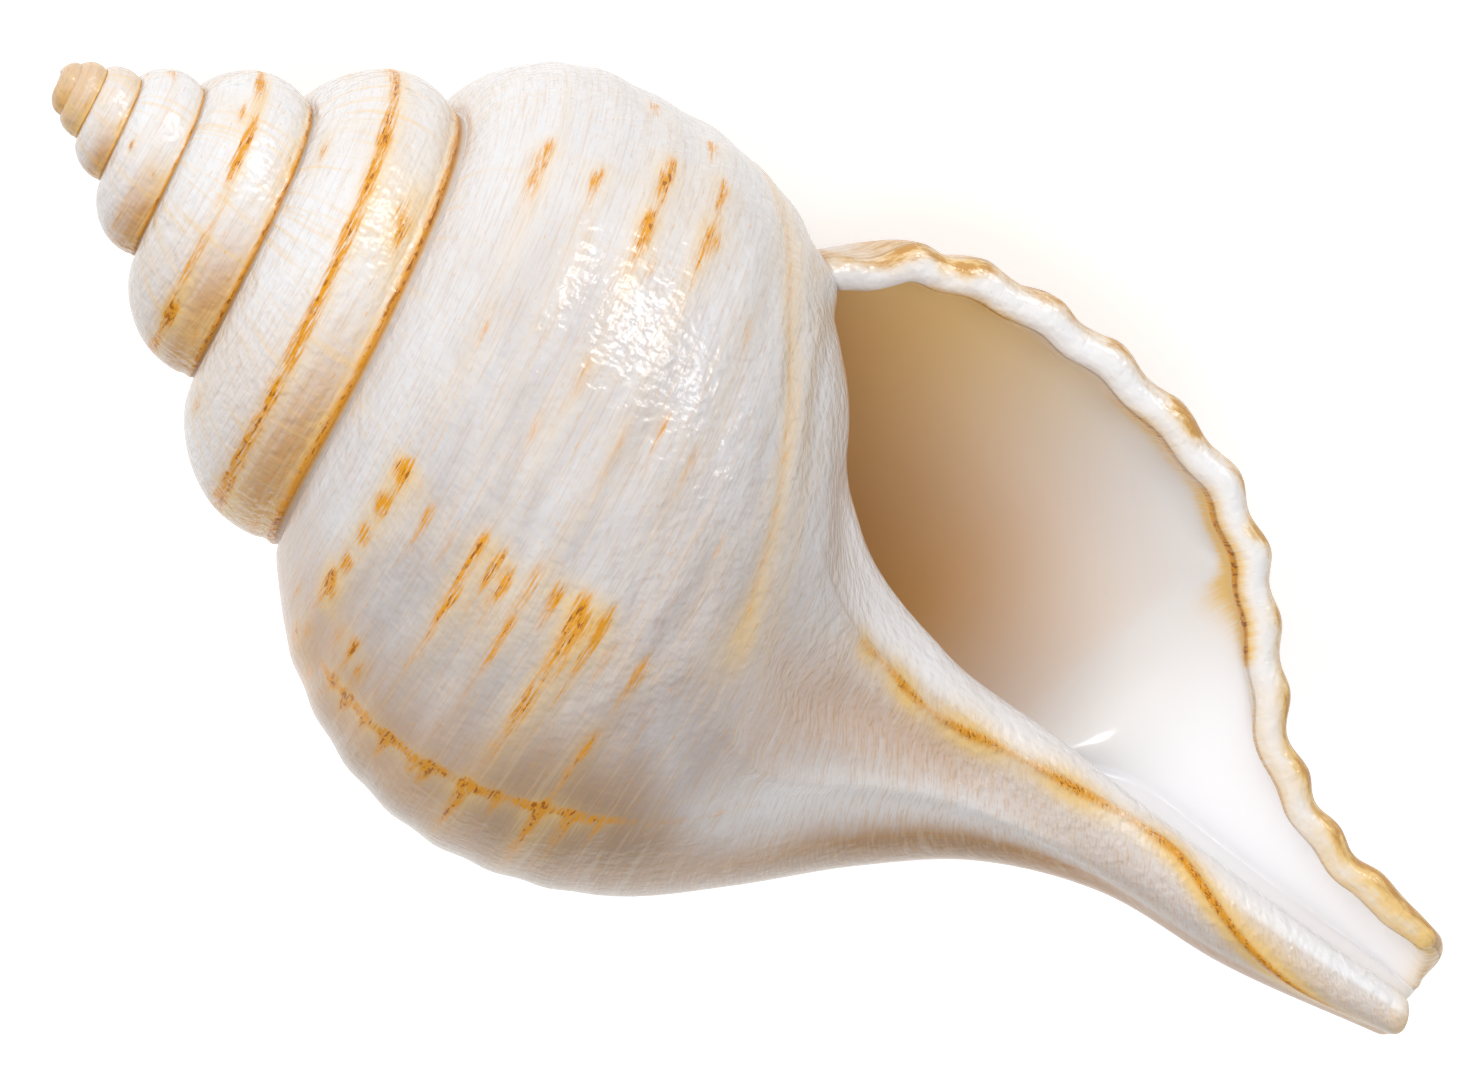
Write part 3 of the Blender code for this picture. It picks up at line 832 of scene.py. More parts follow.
# How far round the shell has grown, in millimetres of skin.
def grownLength(turn):
    steps = np.linspace(shellShape["apex"], shellShape["lip"], 400)
    reach = math.pi * (sutureAt(np.minimum(steps + 2, 9.0))[:, 1] + 10 * easeBetween(6, 8, steps))
    grown = np.concatenate([[0.0], np.cumsum(0.5 * (reach[1:] + reach[:-1]) * np.diff(steps))])
    return np.interp(turn, steps, grown)


def streakAt(turn, down, start, at, strength, tail):
    ahead = turn - start
    along = easeBetween(-0.02, 0.008, ahead) * np.exp(-np.maximum(ahead - 0.01, 0) / tail)
    return strength * along * hump(down, at, markings["streakWidth"])


# The streaks of the front, and those of the back, which are scattered in rows.
def bodyStreaks():
    streaks = list(markings["streaks"])
    dice = np.random.default_rng(markings["backSeed"])
    for band in markings["backBands"]:
        for at in np.arange(*markings["backRows"]):
            start = band + dice.normal(0, 0.012)
            strength = dice.uniform(0.1, 1.25) * (1 - 0.4 * (at > 50))
            streaks.append((start, at + dice.normal(0, 0.5), strength, dice.uniform(0.02, 0.07)))
    return streaks


def bodyAmber(turn, down):
    amber = np.zeros(len(turn))
    haze = np.zeros(len(turn))
    for start, at, strength, tail in bodyStreaks():
        near = (abs(down - at) < 6) & (turn > start - 0.1) & (turn < start + 6 * tail + 0.1)
        amber[near] += streakAt(turn[near], down[near], start, at, strength, tail)
        ahead = turn[near] - start
        spread = easeBetween(-0.03, 0.01, ahead) * np.exp(-np.maximum(ahead, 0) / (1.7 * tail))
        haze[near] += 0.34 * strength * spread * hump(down[near], at, 1.9)
    # A spiral trail of dots.
    start, end, at = markings["diagonal"]
    wave = 0.55 + 0.45 * np.sin(turn * 160)
    amber += 0.75 * wave * within(turn, start - 0.01, start, end, end + 0.02) * hump(down, at, 0.9)
    haze += 0.35 * within(turn, start - 0.01, start, end, end + 0.03) * hump(down, at, 2.2)
    # A row of dots along a growth line.
    row = np.array(markings["growthRow"])
    middle = np.interp(down, row[:, 1], row[:, 0])
    inRow = within(down, 13, 18, 62, 72) * (1 - 0.7 * easeBetween(48, 52, down))
    amber += (0.35 + 0.75 * abs(np.sin(0.62 * down + 1.2))) * inRow * hump(turn, middle, 0.006)
    haze += 0.13 * inRow * hump(turn, middle + 0.004, 0.014)
    for at in markings["spirals"]:
        haze += 0.09 * within(turn, 7.9, 8.1, 8.5, 8.65) * hump(down, at, 1.0)
    onBody = easeBetween(7.9, 8.1, turn)
    return 1.35 * amber * onBody, haze * onBody


def spireAmber(turn, place, down, toLow):
    size = np.clip(sutureAt(np.minimum(turn + 2, 9.0))[:, 1] / 24.0, 0.1, 1.0)
    # The dotted line round the middle of each whorl.
    middle, wander, start = markings["midPlace"]
    offset = (place - middle - wander * np.sin(math.pi * (turn - start))) * 0.26 * (down + toLow) / size
    strong = 0.88 + 0.16 * np.sin(turn * 9.1 + 1.0) + 0.12 * np.sin(turn * 23.0)
    strong = strong * (0.25 + 0.75 * easeBetween(3.2, 4.2, turn)) * (1 - 0.35 * hump(turn % 2, 1.5, 0.35))
    strong = strong * (turn < 8.02) * easeBetween(-1, 2, turn)
    grown = grownLength(turn)
    waves = grown * 0.85 / np.maximum(size, 0.3) + 1.6 * np.sin(grown * 0.21)
    beads = 0.5 + 0.5 * abs(np.sin(waves)) ** 1.6
    amber = 1.9 * strong * beads * hump(offset, 0, 0.55)
    haze = 0.5 * strong * hump(offset, 0.3, 1.5)
    # Stray spots.
    dice = np.random.default_rng(markings["backSeed"] + 1)
    for band in np.arange(*markings["spireBands"]):
        at = band + dice.normal(0, 0.05)
        for spot in markings["spotPlaces"]:
            strength = dice.uniform(-0.25, 0.75)
            spotPlace = spot + dice.normal(0, 0.15)
            if strength > 0.1:
                spotTurn = at + 0.03 * (spot - 2.5)
                shown = strength * (turn < 8)
                amber += 1.3 * shown * hump(turn, spotTurn, 0.03) * hump(place, spotPlace, 0.13)
                haze += 0.5 * shown * hump(turn, spotTurn, 0.07) * hump(place, spotPlace, 0.4)
    # The apex is amber all over.
    haze += 0.28 * (1 - easeBetween(-1.5, 1.5, turn))
    return amber, haze, size


def goldLines(turn, place, down, toLow, depth, size, radius):
    inLip = depth > skinDepth
    gold = ~inLip * (turn < 8.0) * (1 - easeBetween(0.35, 1.5, toLow / size))  # over the sutures
    # The ridge down the columella.
    columella = onColumella(turn) & (abs(depth) < skinDepth)
    ridge = roundFrom(lineAt(reliefShape["ridgeLine"], place), turn, radius)
    strong = within(place, 6.9, 8.4, 11.7, 12.0)
    strong = strong * (0.75 + 0.25 * np.sin(place * 9.0) + 0.6 * hump(place, 11.0, 0.35))
    gold = gold + columella * strong * hump(ridge, 0.15, 0.6)
    haze = columella * 0.8 * strong * (hump(ridge, 0.4, 1.7) + 0.3 * hump(ridge, -1.5, 2.6))
    # The fold beside the mouth.
    fold = place - lineAt(reliefShape["foldLine"], turn)
    foldOn = columella * within(turn, 7.95, 8.1, 8.5, 8.62)
    gold = gold + foldOn * 0.5 * hump(fold, 0.02, 0.04)
    haze = haze + foldOn * (0.4 * hump(fold, 0.05, 0.16) + 0.22 * hump(fold, 0.42, 0.14))
    haze = haze + columella * 0.3 * hump(turn, 8.56, 0.05) * hump(place, 5.65, 0.3)
    # A broken line where the lip's bead meets the mouth.
    line = np.array(markings["lipLine"])
    strong = inLip * np.interp(down, line[:, 0], line[:, 1])
    gold = gold + 1.2 * strong * hump(depth, *markings["lipLineDepth"])
    haze = haze + 1.1 * strong * (hump(depth, 0.062, 0.017) + 0.3 * hump(depth, 0.046, 0.006))
    return gold, haze


def lipStains(turn, down, depth, toTip):
    inLip = depth > skinDepth
    face = easeBetween(9.9, 9.97, turn) * (depth < skinDepth) + inLip * (1 - easeBetween(0.015, 0.034, depth))
    crest = 0.5 + 0.5 * ruffleAt(down)
    lower = easeBetween(60, 82, down)
    haze = face * (0.58 + 0.32 * crest + 0.35 * lower)
    amber = face * (0.56 + 0.36 * crest + 0.3 * lower)
    for at, reach, strong in markings["lipSpots"]:
        spot = inLip * strong * hump(down, at, reach)
        haze = haze + spot * hump(depth, 0.022, 0.012)
        amber = amber + 0.8 * spot * hump(depth, 0.022, 0.009)
    haze = haze + 0.3 * lower * inLip * (1 - easeBetween(0.05, 0.13, depth))
    haze = haze + 0.35 * easeBetween(84, 96, down) * inLip * (1 - easeBetween(0.05, 0.11, depth))
    # Round the end of the canal.
    onLast = easeBetween(7.7, 7.95, turn)
    haze = haze + 0.8 * onLast * np.exp(-toTip / 2.2)
    amber = amber + 0.55 * onLast * np.exp(-toTip / 0.7)
    return amber, haze


# Where the ground changes colour, by half turn, place, or millimetres down the whorl. Those
# that come and go have four values, as above. Those with an amount have it last.
grounds = {
    "spireTanAndShade": ((0.44, 0.76), (1.6, 1.95)),  # round each whorl of the spire, from 0 to 2: warm colour and painted shade on each whorl's lower side
    "spireBack": ((1.05, 1.3), 0.7),
    "spireLow": (2.4, 4.2),
    "apexTan": ((-1.5, 1.0), 0.6),
    "bodyTanAndShade": (8.70, 0.13),  # the last whorl's warm side, partly its own colour and partly painted shade: where it starts, and how softly
    "bodyTanBack": ((9.02, 9.22), 0.72),
    # painted highlight: the crest below the columella is kept light, as if it caught the light
    "litCrestTurn": (8.755, 0.06),
    "litCrestDown": (50, 70, 98, 110),
    "basinTurn": (8.60, 0.09),
    "basinDown": (50, 66, 88, 98),
    # painted shade: where the browner side underneath and the darker lower limb reach
    "umberDown": (28, 44),
    "umberEnd": ((92, 104), 0.8),
    "umberTurns": (9.02, 9.16),
    "limbTurns": (8.84, 8.94),
    "limbDown": (12, 24),
    "limbEnd": ((76, 90), 0.6),
    "stalkDown": (58, 76),  # where the last whorl has narrowed to the canal
    "stalkTan": ((8.3, 8.45), 0.11),
    # painted shade: how much greyer the white gets over the middle of the last whorl
    "paintedShade": (0.25, ((8.25, 8.46), 0.42), ((8.5, 8.66), 0.33)),
    "throat": (0.05, 0.50),  # half turns in from the lip
    "mouthGold": (3.2, 6.8),
    "canal": (6.8, 7.6),
}


def lessBy(amount, mask):
    return 1 - amount * mask


# The warm and brown side underneath, partly the shell's own colour and partly painted shade, with the lower
# limb darker in painted shade; the cooler white that faces up, which is painted shade; and a painted
# highlight kept on the crest below the columella.
def groundTones(turn, place, down, outside):
    # The spire's warm side, by how far round each whorl it is: partly its own colour, partly painted shade.
    # The apex is warm all over.
    side = turn % 2
    rises, falls = grounds["spireTanAndShade"]
    back, backAmount = grounds["spireBack"]
    spireTanAndShade = within(side, *rises, *falls) * lessBy(backAmount, easeBetween(*back, side))
    spireTanAndShade = spireTanAndShade * (0.12 + 0.88 * easeBetween(*grounds["spireLow"], place))
    apex, apexAmount = grounds["apexTan"]
    spireTanAndShade = spireTanAndShade + apexAmount * (1 - easeBetween(*apex, turn))

    # The last whorl's warm side underneath: partly its own colour, partly painted shade.
    first, soft = grounds["bodyTanAndShade"]
    back, backAmount = grounds["bodyTanBack"]
    start = first - 0.05 * easeBetween(25, 42, down) + 0.16 * easeBetween(46, 68, down)
    bodyTanAndShade = easeBetween(start, start + soft, turn) * lessBy(backAmount, easeBetween(*back, turn))
    bodyTanAndShade = bodyTanAndShade * (0.5 + 0.5 * easeBetween(6, 14, down))
    # Painted highlight: the crest below the columella is kept free of painted shade and tan; the basin beside
    # it gets less painted shade and a little tan.
    crest = outside * hump(turn, *grounds["litCrestTurn"]) * within(down, *grounds["litCrestDown"])
    basin = hump(turn, *grounds["basinTurn"]) * within(down, *grounds["basinDown"])

    # Painted shade: a browner, darker side underneath, darkest at the lower limb.
    end, endAmount = grounds["umberEnd"]
    umberShade = outside * bodyTanAndShade * (turn > 8.0) * easeBetween(*grounds["umberDown"], down)
    umberShade = umberShade * lessBy(endAmount, easeBetween(*end, down))
    end, endAmount = grounds["limbEnd"]
    limbShade = outside * easeBetween(*grounds["limbTurns"], turn) * easeBetween(*grounds["limbDown"], down)
    limbShade = limbShade * lessBy(endAmount, easeBetween(*end, down))
    umberShade = np.maximum(0.85 * umberShade, limbShade) * (1 - easeBetween(*grounds["umberTurns"], turn))

    stalk = easeBetween(*grounds["stalkDown"], down)
    stalkTurns, stalkAmount = grounds["stalkTan"]
    bodyTanAndShade = np.maximum(bodyTanAndShade * (0.5 + 0.5 * easeBetween(8.82, 8.92, turn)), 0.28 * basin)
    tanAndShade = outside * np.where(turn < 8.0, spireTanAndShade, bodyTanAndShade) + 0.06
    tanAndShade = tanAndShade + 0.10 * outside * easeBetween(8.45, 8.55, turn) * easeBetween(34, 44, down) * (1 - crest)
    tanAndShade = tanAndShade + stalkAmount * outside * stalk * easeBetween(*stalkTurns, turn) * lessBy(0.7, crest)

    # Painted shade: a greyer white over the middle of the last whorl, less near the suture, along the canal,
    # on the crest and in the basin.
    paintedShade, *steps = grounds["paintedShade"]
    for turns, amount in steps:
        paintedShade = paintedShade + amount * easeBetween(*turns, turn)
    paintedShade = paintedShade * (0.45 + 0.55 * easeBetween(6, 17, down)) * lessBy(0.75, stalk)
    paintedShade = outside * paintedShade * lessBy(0.9, crest) * lessBy(0.6, basin)
    paintedShade = paintedShade * easeBetween(8.0, 8.02, turn) * lessBy(0.6, easeBetween(9.0, 9.2, turn))
    return tanAndShade, umberShade, paintedShade


# From porcelain white at the lip to gold and brown where the hollow is deepest.
def mouthTones(turn, place, depth, outside):
    inLip = depth > skinDepth
    deepest = np.where(inLip, easeBetween(*grounds["throat"], depth), easeBetween(0.0, 0.12, -depth))
    throat = deepest * (1 - easeBetween(5.9, 8.7, place)) * ~outside
    wall = outside * within(place, 5.2, 5.8, 7.4, 8.2) * within(turn, 7.99, 8.0, 8.06, 8.2)
    gold = inLip * (1 - easeBetween(*grounds["mouthGold"], place)) * easeBetween(0.048, 0.085, depth)
    canal = easeBetween(*grounds["canal"], place) * within(turn, 7.9, 8.0, 8.38, 8.45)
    innerFace = inLip * easeBetween(0.02, 0.03, depth)  # of the bead
    porcelain = np.maximum(~outside * easeBetween(0.0, 0.06, abs(depth)), canal)
    # Painted light with a cool tint: the lower mouth, the canal and the bead's inner face get a brighter,
    # cooler white.
    coolLit = ~outside * easeBetween(8.2, 9.6, place) * easeBetween(0.05, 0.10, abs(depth))
    coolLit = np.maximum(coolLit, canal * outside)
    coolLit = np.maximum(coolLit, 0.45 * innerFace * (1 - easeBetween(0.05, 0.08, depth)))
    return np.maximum(throat, wall), gold, np.maximum(porcelain, innerFace), coolLit


# How hammered the skin is.
def hammerAt(turn, place, depth, outside):
    folds = outside * within(turn, 8.0, 8.1, 8.55, 8.75) * easeBetween(4.2, 5.2, place)
    hammer = np.where(turn < 8.0, 1.1, 0.85) * outside * lessBy(0.75, easeBetween(8.6, 8.85, turn))
    return hammer + 0.4 * folds + 0.9 * (depth > skinDepth) * (depth < lipShape["depths"][1]) + 0.05


# What the mesh stores for the finish, three to an attribute.
storedMarks = {
    "stains": ("amber", "haze", "gold"),
    "tones": ("tanAndShade", "throat", "porcelain"),
    "edges": ("nearSuture", "lowerEdge", "hammer"),
    "lip": ("lipAmber", "lipHaze", "paintedShade"),
    "mouth": ("mouthGold", "coolLitMouth", "umberShade"),
}


def shellMarks(turn, place, down, toLow, depth):
    sections = sectionAt(turn, place)
    radius = sections[1]
    toTip = sections[4]
    outside = abs(depth) < skinDepth
    marks = {}
    bodyStain, bodyHaze = bodyAmber(turn, down)
    spireStain, spireHaze, size = spireAmber(turn, place, down, toLow)
    gold, goldHaze = goldLines(turn, place, down, toLow, depth, size, radius)
    beforeLip = (depth < skinDepth) * (1 - easeBetween(9.93, 9.99, turn))
    marks["amber"] = np.clip(beforeLip * (bodyStain + spireStain), 0, 1.8)
    marks["haze"] = np.clip(beforeLip * (bodyHaze + spireHaze) + goldHaze, 0, 1.8)
    marks["gold"] = np.clip(gold, 0, 1.8)
    marks["lipAmber"], marks["lipHaze"] = lipStains(turn, down, depth, toTip)
    tanAndShade, marks["umberShade"], marks["paintedShade"] = groundTones(turn, place, down, outside)
    throat, marks["mouthGold"], porcelain, marks["coolLitMouth"] = mouthTones(turn, place, depth, outside)
    marks["tanAndShade"] = np.clip(tanAndShade, 0, 1)
    marks["throat"] = np.clip(throat, 0, 1)
    marks["porcelain"] = np.clip(porcelain, 0, 1)
    nearSuture = np.maximum(np.exp(-down / (3.4 * size)), 0.4 * (turn < 8.0))
    onBody = 0.45 * (1 - easeBetween(9, 9.6, turn))
    marks["nearSuture"] = outside * nearSuture * np.where(turn < 8.0, 1.0, onBody)
    aboveEdge = np.maximum(toLow - 0.8 * size, 0)
    marks["lowerEdge"] = outside * (turn < 8.0) * np.exp(-aboveEdge / (1.7 * size))
    marks["hammer"] = hammerAt(turn, place, depth, outside)
    return marks


def buildShell():
    store = {"points": [], "marks": [], "count": 0}
    columns = growOutside(store)
    faces, wallAt, joinRow = coverOutside(columns, store)
    faces += lineHollow(columns, wallAt, joinRow, store)
    points = np.concatenate(store["points"])
    turn, place, down, toLow, depth = np.concatenate(store["marks"]).T
    weight = easeBetween(*shellGrid["softDepth"], abs(depth))
    weight = weight * lessBy(0.8, easeBetween(*shellGrid["softEnd"], place))
    points = softened(points, faces, weight)
    mesh = meshFrom("conchShell", laidDown(points), faces)
    storeNumbers(mesh, "growth", np.stack([grownLength(turn), down, depth], axis=1))
    marks = shellMarks(turn, place, down, toLow, depth)
    for group, names in storedMarks.items():
        storeNumbers(mesh, group, np.stack([marks[name] for name in names], axis=1))
    shell = bpy.data.objects.new("conchShell", mesh)
    bpy.context.scene.collection.objects.link(shell)
    print("shell grown:", len(points), "points,", len(faces), "faces")
    return shell


shell = buildShell()


shellFinish = {
    "white": (0.86, 0.875, 0.905),
    "paintedShade": (0.54, 0.525, 0.545),  # painted shade: a cooler, greyer white half-way round
    "cream": (0.78, 0.66, 0.54),
    "porcelain": (0.85, 0.84, 0.84),
    # a brighter, cooler porcelain for the lower mouth and canal: a cool tint with painted light
    "coolLitPorcelain": (0.94, 0.94, 0.975),
    # warm tan, partly the shell's own colour and partly painted shade underneath
    "tanAndShade": (0.58, 0.275, 0.08),
    "umberShade": (0.37, 0.255, 0.17),  # painted shade: the browner, darker side underneath and the lower limb
    "amber": (0.77, 0.33, 0.018),
    "haze": (0.88, 0.60, 0.24),
    "dark": (0.34, 0.09, 0.006),
    "hair": (0.58, 0.35, 0.19),
    "worn": (0.52, 0.24, 0.05),  # on the lip's outer edge
    "gold": (0.90, 0.66, 0.32),  # the mouth's upper part, and the throat's start
    "throat": (0.82, 0.46, 0.165),
    "roughness": 0.12,
    "roughnessMore": 0.14,  # in patches
    "gloss": 0.3,
    "bumpHeight": 0.00014,  # metres
}

# Noises in the shell's own skin: waves in a millimetre round it, down it and through it,
# then detail, roughness and seed.
skinNoises = {
    "striae": ((0.05, 0.9, 3.0), 3.0, 0.65, 1.0),
    "hairs": ((0.16, 3.4, 3.0), 3.0, 0.65, 5.0),
    "growthLines": ((0.9, 0.05, 3.0), 3.0, 0.65, 9.0),
    "fray": ((0.34, 4.2, 3.0), 3.0, 0.7, 13.0),
    "dots": ((0.9, 1.9, 3.0), 2.0, 0.6, 17.0),
    "ticks": ((0.8, 3.4, 3.0), 1.0, 0.5, 23.0),
    "lipGrain": ((1.2, 0.4, 170.0), 3.0, 0.65, 29.0),
    "clouds": ((0.10, 0.32, 3.0), 3.0, 0.55, 41.0),
}

# Noises in space: waves in a metre, and detail.
spaceNoises = {
    "patches": (55.0, 3.0),
    "grain": (1350.0, 1.5),
    "dents": (760.0, 1.0),
}


def addNode(tree, kind, **settings):
    node = tree.nodes.new(kind)
    for name, value in settings.items():
        setattr(node, name, value)
    return node


def plug(tree, socket, value):
    if isinstance(value, bpy.types.NodeSocket):
        tree.links.new(value, socket)
    else:
        socket.default_value = value


def calculate(tree, operation, first, second=0.0, third=0.0):
    node = addNode(tree, "ShaderNodeMath", operation=operation)
    for socket, value in zip(node.inputs, (first, second, third)):
        plug(tree, socket, value)
    return node.outputs[0]


def scaled(tree, value, gain, start):
    return calculate(tree, "MULTIPLY_ADD", value, gain, start)


def times(tree, *values):
    product = values[0]
    for value in values[1:]:
        product = calculate(tree, "MULTIPLY", product, value)
    return product


# Rises smoothly from 0 to 1 between two values.
def rise(tree, value, low, high):
    node = addNode(tree, "ShaderNodeMapRange", interpolation_type="SMOOTHSTEP")
    plug(tree, node.inputs["Value"], value)
    plug(tree, node.inputs["From Min"], low)
    plug(tree, node.inputs["From Max"], high)
    return node.outputs["Result"]


def blend(tree, amount, first, second):
    node = addNode(tree, "ShaderNodeMix", data_type="RGBA")
    plug(tree, node.inputs[0], amount)
    for socket, value in ((node.inputs[6], first), (node.inputs[7], second)):
        plug(tree, socket, (*value, 1.0) if isinstance(value, tuple) else value)
    return node.outputs[2]


def noiseNode(tree, vector, scale, detail):
    noise = addNode(tree, "ShaderNodeTexNoise", noise_dimensions="3D")
    noise.inputs["Scale"].default_value = scale
    noise.inputs["Detail"].default_value = detail
    plug(tree, noise.inputs["Vector"], vector)
    return noise


def skinNoise(tree, growth, name):
    waves, detail, roughness, seed = skinNoises[name]
    stretch = addNode(tree, "ShaderNodeVectorMath", operation="MULTIPLY_ADD")
    plug(tree, stretch.inputs[0], growth)
    stretch.inputs[1].default_value = waves
    stretch.inputs[2].default_value = (seed, seed * 1.7, 0.0)
    noise = noiseNode(tree, stretch.outputs[0], 1.0, detail)
    noise.inputs["Roughness"].default_value = roughness
    return noise.outputs["Fac"]


# Everything the finish is mixed from: the mesh's stored marks, and the noises.
def readSkin(tree):
    parts = {}
    for group, names in storedMarks.items():
        source = addNode(tree, "ShaderNodeAttribute", attribute_name=group)
        split = addNode(tree, "ShaderNodeSeparateXYZ")
        plug(tree, split.inputs[0], source.outputs["Vector"])
        parts.update(zip(names, split.outputs))
    growth = addNode(tree, "ShaderNodeAttribute", attribute_name="growth").outputs["Vector"]
    for name in skinNoises:
        parts[name] = skinNoise(tree, growth, name)
    space = addNode(tree, "ShaderNodeTexCoord").outputs["Object"]
    for name, (scale, detail) in spaceNoises.items():
        parts[name] = noiseNode(tree, space, scale, detail).outputs["Fac"]
    parts["skin"] = calculate(tree, "SUBTRACT", 1.0, parts["porcelain"])
    return parts


# White to cream, with painted shade greyer where it faces up and browner underneath, warmer on one side
# partly from its own colour and partly from painted shade, with fine lines both ways.
def groundColour(tree, parts):
    striae = parts["striae"]
    creamy = times(tree, rise(tree, parts["patches"], 0.44, 0.72), 0.28, parts["skin"])
    colour = blend(tree, creamy, shellFinish["white"], shellFinish["cream"])
    washes = (
        ("paintedShade", times(tree, parts["paintedShade"], scaled(tree, parts["clouds"], -1.5, 1.65))),
        ("tanAndShade", times(tree, parts["tanAndShade"], scaled(tree, striae, 1.5, 0.2))),
        ("umberShade", times(tree, parts["umberShade"], scaled(tree, striae, 1.2, 0.3))),
    )
    for name, wash in washes:
        colour = blend(tree, calculate(tree, "MINIMUM", wash, 1.0), colour, shellFinish[name])
    spun = times(tree, scaled(tree, parts["nearSuture"], -0.7, 1.0), parts["skin"])
    bands = times(tree, rise(tree, striae, 0.52, 0.64), 0.30, spun)
    colour = blend(tree, bands, colour, shellFinish["cream"])
    lines = times(tree, rise(tree, parts["hairs"], 0.50, 0.62), scaled(tree, parts["tanAndShade"], 0.5, 0.22), spun)
    colour = blend(tree, lines, colour, shellFinish["hair"])
    arcs = times(tree, rise(tree, parts["growthLines"], 0.50, 0.68), parts["skin"])
    arcs = times(tree, arcs, scaled(tree, parts["nearSuture"], 0.85, 0.07))
    return blend(tree, arcs, colour, shellFinish["haze"])


# Porcelain inside, a brighter and cooler white below and in the canal, a cool tint with painted light, gold
# above and brown down the throat.
def mouthColour(tree, parts, colour):
    colour = blend(tree, parts["porcelain"], colour, shellFinish["porcelain"])
    colour = blend(tree, parts["coolLitMouth"], colour, shellFinish["coolLitPorcelain"])
    colour = blend(tree, parts["mouthGold"], colour, shellFinish["gold"])
    return blend(tree, parts["throat"], colour, shellFinish["throat"])


# Amber: a soft haze, frayed streaks in it, and dark dots at their hearts.
def amberColour(tree, parts, colour):
    fray = parts["fray"]
    edge = times(tree, parts["lowerEdge"], scaled(tree, fray, 1.8, -0.35))
    haze = calculate(tree, "ADD", times(tree, parts["haze"], scaled(tree, fray, 1.7, 0.2)), edge)
    colour = blend(tree, rise(tree, haze, -0.1, 1.0), colour, shellFinish["haze"])
    streak = times(tree, parts["amber"], scaled(tree, fray, 4.0, -1.25))
    colour = blend(tree, rise(tree, streak, 0.05, 0.8), colour, shellFinish["amber"])
    gold = times(tree, parts["gold"], scaled(tree, fray, 1.6, 0.1))
    colour = blend(tree, rise(tree, gold, 0.1, 1.0), colour, shellFinish["amber"])
    clusters = times(tree, rise(tree, parts["dots"], 0.44, 0.60), rise(tree, parts["striae"], 0.36, 0.56))
    heart = times(tree, calculate(tree, "MAXIMUM", streak, gold), clusters)
    colour = blend(tree, times(tree, rise(tree, heart, 0.25, 0.9), 0.85), colour, shellFinish["dark"])
    tick = times(tree, rise(tree, parts["ticks"], 0.68, 0.75), parts["skin"])
    tick = times(tree, tick, scaled(tree, parts["tanAndShade"], 0.5, 0.3))
    return blend(tree, tick, colour, shellFinish["amber"])


# The lip's edge is brushed along its length.
def lipColour(tree, parts, colour):
    brushed = times(tree, parts["lipHaze"], scaled(tree, parts["lipGrain"], 1.4, 0.2))
    colour = blend(tree, rise(tree, brushed, 0.0, 1.1), colour, shellFinish["haze"])
    worn = times(tree, parts["lipAmber"], scaled(tree, parts["lipGrain"], 3.2, -0.95))
    return blend(tree, times(tree, rise(tree, worn, 0.1, 0.9), 0.8), colour, shellFinish["worn"])


# A finely hammered skin, with the same lines as the colours.
def skinBump(tree, parts):
    height = scaled(tree, parts["striae"], 0.35, times(tree, parts["grain"], 0.65))
    for name, amount in (("dents", 2.0), ("growthLines", 0.35), ("hairs", 0.30)):
        height = scaled(tree, parts[name], amount, height)
    height = times(tree, height, parts["hammer"])
    height = scaled(tree, times(tree, parts["lipGrain"], parts["lipAmber"]), 1.1, height)
    bump = addNode(tree, "ShaderNodeBump")
    bump.inputs["Distance"].default_value = shellFinish["bumpHeight"]
    plug(tree, bump.inputs["Height"], height)
    return bump.outputs[0]


def makeShellFinish():
    material = bpy.data.materials.new("shellFinish")
    material.use_nodes = True
    tree = material.node_tree
    shader = tree.nodes["Principled BSDF"]
    parts = readSkin(tree)
    colour = groundColour(tree, parts)
    colour = mouthColour(tree, parts, colour)
    colour = amberColour(tree, parts, colour)
    colour = lipColour(tree, parts, colour)
    roughness = scaled(tree, parts["patches"], shellFinish["roughnessMore"], shellFinish["roughness"])
    plug(tree, shader.inputs["Base Color"], colour)
    plug(tree, shader.inputs["Roughness"], roughness)
    plug(tree, shader.inputs["Normal"], skinBump(tree, parts))
    shader.inputs["Specular IOR Level"].default_value = shellFinish["gloss"]
    return material


shell.data.materials.append(makeShellFinish())
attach(shell, "root")
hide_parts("shell")
print("shell finished")


studio = {
    "floorSize": 6.0,
    "floorColour": (0.9, 0.9, 0.9),
    "floorGlow": 0.5,  # seen by the camera and in reflections only
    "airStrength": 0.40,
    "lamps": (  # name, place, width and height, energy, and whether it only shows in reflections
        ("softKey", (-0.98, 0.66, 0.30), (1.0, 0.8), 6.4, False),
        ("windowKey", (-0.30, 1.10, 0.40), (1.3, 1.0), 2.9, False),
        ("glintLamp", (-0.30, 1.10, 0.22), (0.36, 0.32), 8.0, True),
        ("ridgeLamp", (0.14, 1.09, 0.34), (0.2, 0.2), 3.2, True),
        ("topFill", (0.02, 0.12, 1.00), (0.8, 0.8), 3.2, False),
    ),
    "lampTarget": (0, 0, 0.03),
    "cameraPlace": (-0.22646, 0.44039, 0.70519),
    "cameraTurn": (-36.132, 3.742, 32.427),
    "lens": 200.0,
}


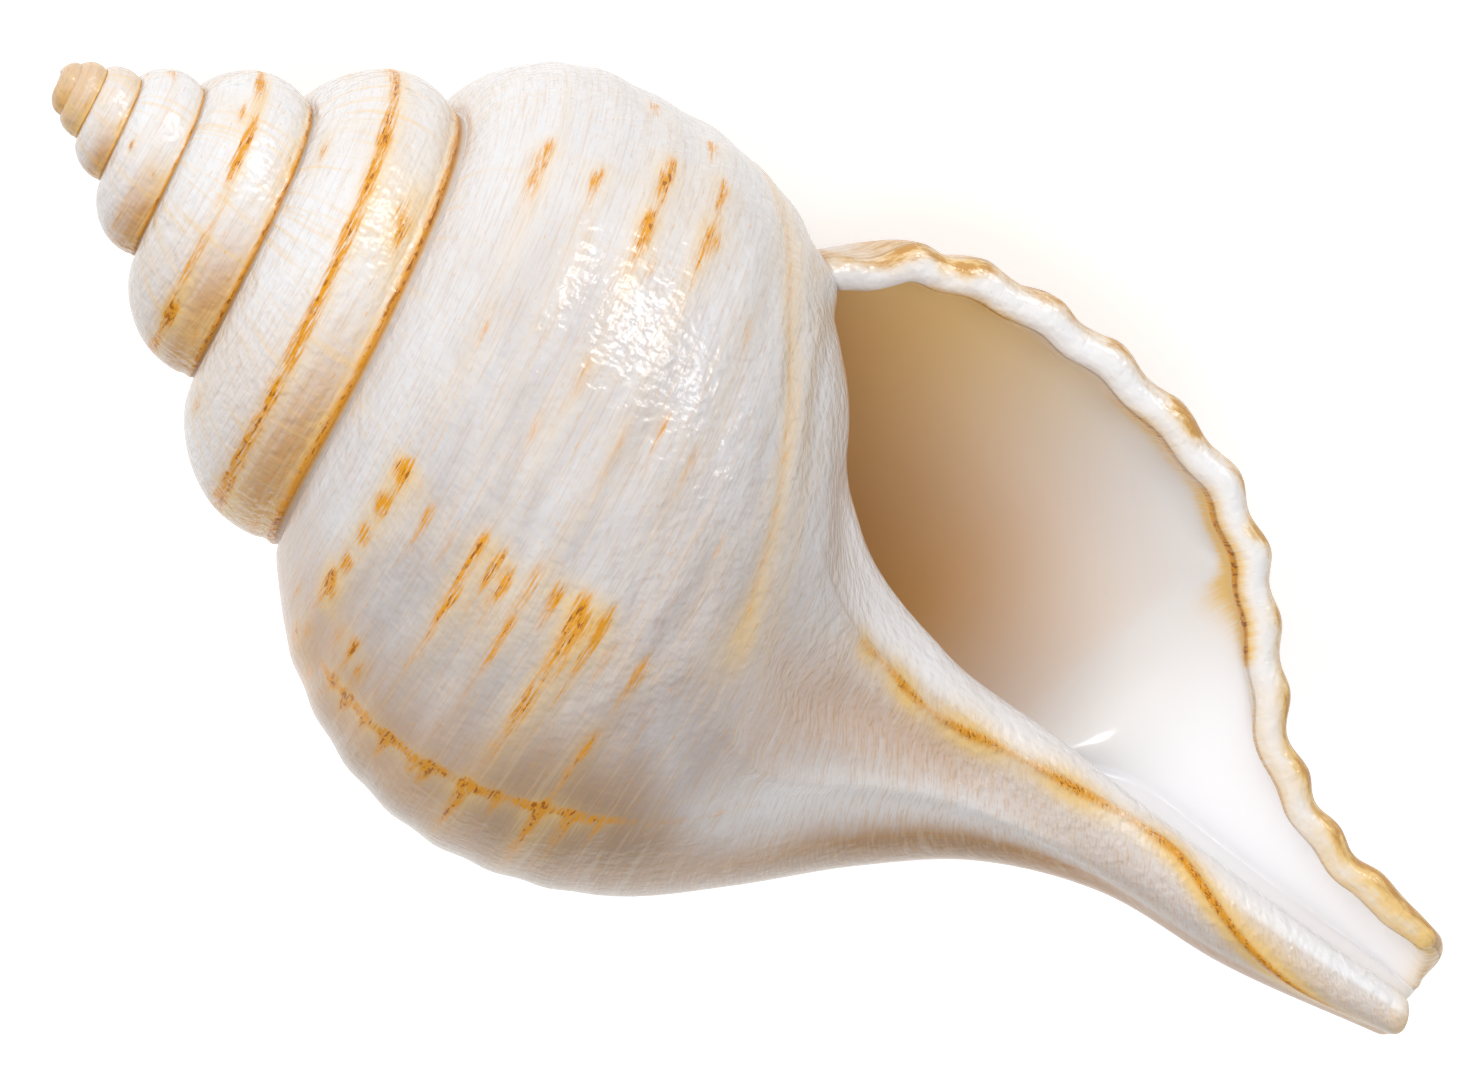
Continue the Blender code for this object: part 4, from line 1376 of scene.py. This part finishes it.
def makeFloor():
    half = studio["floorSize"] / 2
    mesh = bpy.data.meshes.new("floor")
    corners = [(-half, -half, 0), (half, -half, 0), (half, half, 0), (-half, half, 0)]
    mesh.from_pydata(corners, [], [(0, 1, 2, 3)])
    floor = bpy.data.objects.new("floor", mesh)
    bpy.context.scene.collection.objects.link(floor)
    material = bpy.data.materials.new("floorPaper")
    material.use_nodes = True
    tree = material.node_tree
    shader = tree.nodes["Principled BSDF"]
    shader.inputs["Base Color"].default_value = (*studio["floorColour"], 1.0)
    shader.inputs["Roughness"].default_value = 1.0
    shader.inputs["Specular IOR Level"].default_value = 0.0
    ray = addNode(tree, "ShaderNodeLightPath")
    seen = calculate(tree, "MAXIMUM", ray.outputs["Is Camera Ray"], ray.outputs["Is Glossy Ray"])
    glow = addNode(tree, "ShaderNodeEmission")
    plug(tree, glow.inputs["Strength"], calculate(tree, "MULTIPLY", seen, studio["floorGlow"]))
    both = addNode(tree, "ShaderNodeAddShader")
    plug(tree, both.inputs[0], shader.outputs[0])
    plug(tree, both.inputs[1], glow.outputs[0])
    plug(tree, tree.nodes["Material Output"].inputs["Surface"], both.outputs[0])
    mesh.materials.append(material)


def makeLamp(name, place, size, energy, reflected):
    light = bpy.data.lights.new(name, "AREA")
    light.energy = energy
    light.shape = "ELLIPSE"
    light.size, light.size_y = size
    lamp = bpy.data.objects.new(name, light)
    lamp.location = place
    aim = Vector(studio["lampTarget"]) - Vector(place)
    lamp.rotation_euler = aim.to_track_quat("-Z", "Y").to_euler()
    lamp.visible_glossy = reflected
    lamp.visible_diffuse = not reflected
    bpy.context.scene.collection.objects.link(lamp)


def makeAir():
    world = bpy.data.worlds.new("studioAir")
    world.use_nodes = True
    world.node_tree.nodes["Background"].inputs["Color"].default_value = (1, 1, 1, 1)
    world.node_tree.nodes["Background"].inputs["Strength"].default_value = studio["airStrength"]
    bpy.context.scene.world = world


def makeCamera():
    data = bpy.data.cameras.new("camera")
    data.lens = studio["lens"]
    data.sensor_width = 36.0
    camera = bpy.data.objects.new("camera", data)
    camera.location = studio["cameraPlace"]
    camera.rotation_euler = [math.radians(a) for a in studio["cameraTurn"]]
    bpy.context.scene.collection.objects.link(camera)
    bpy.context.scene.camera = camera


makeFloor()
makeAir()
for lampFacts in studio["lamps"]:
    makeLamp(*lampFacts)
makeCamera()
bpy.context.scene.view_settings.view_transform = "Standard"
print("studio ready")
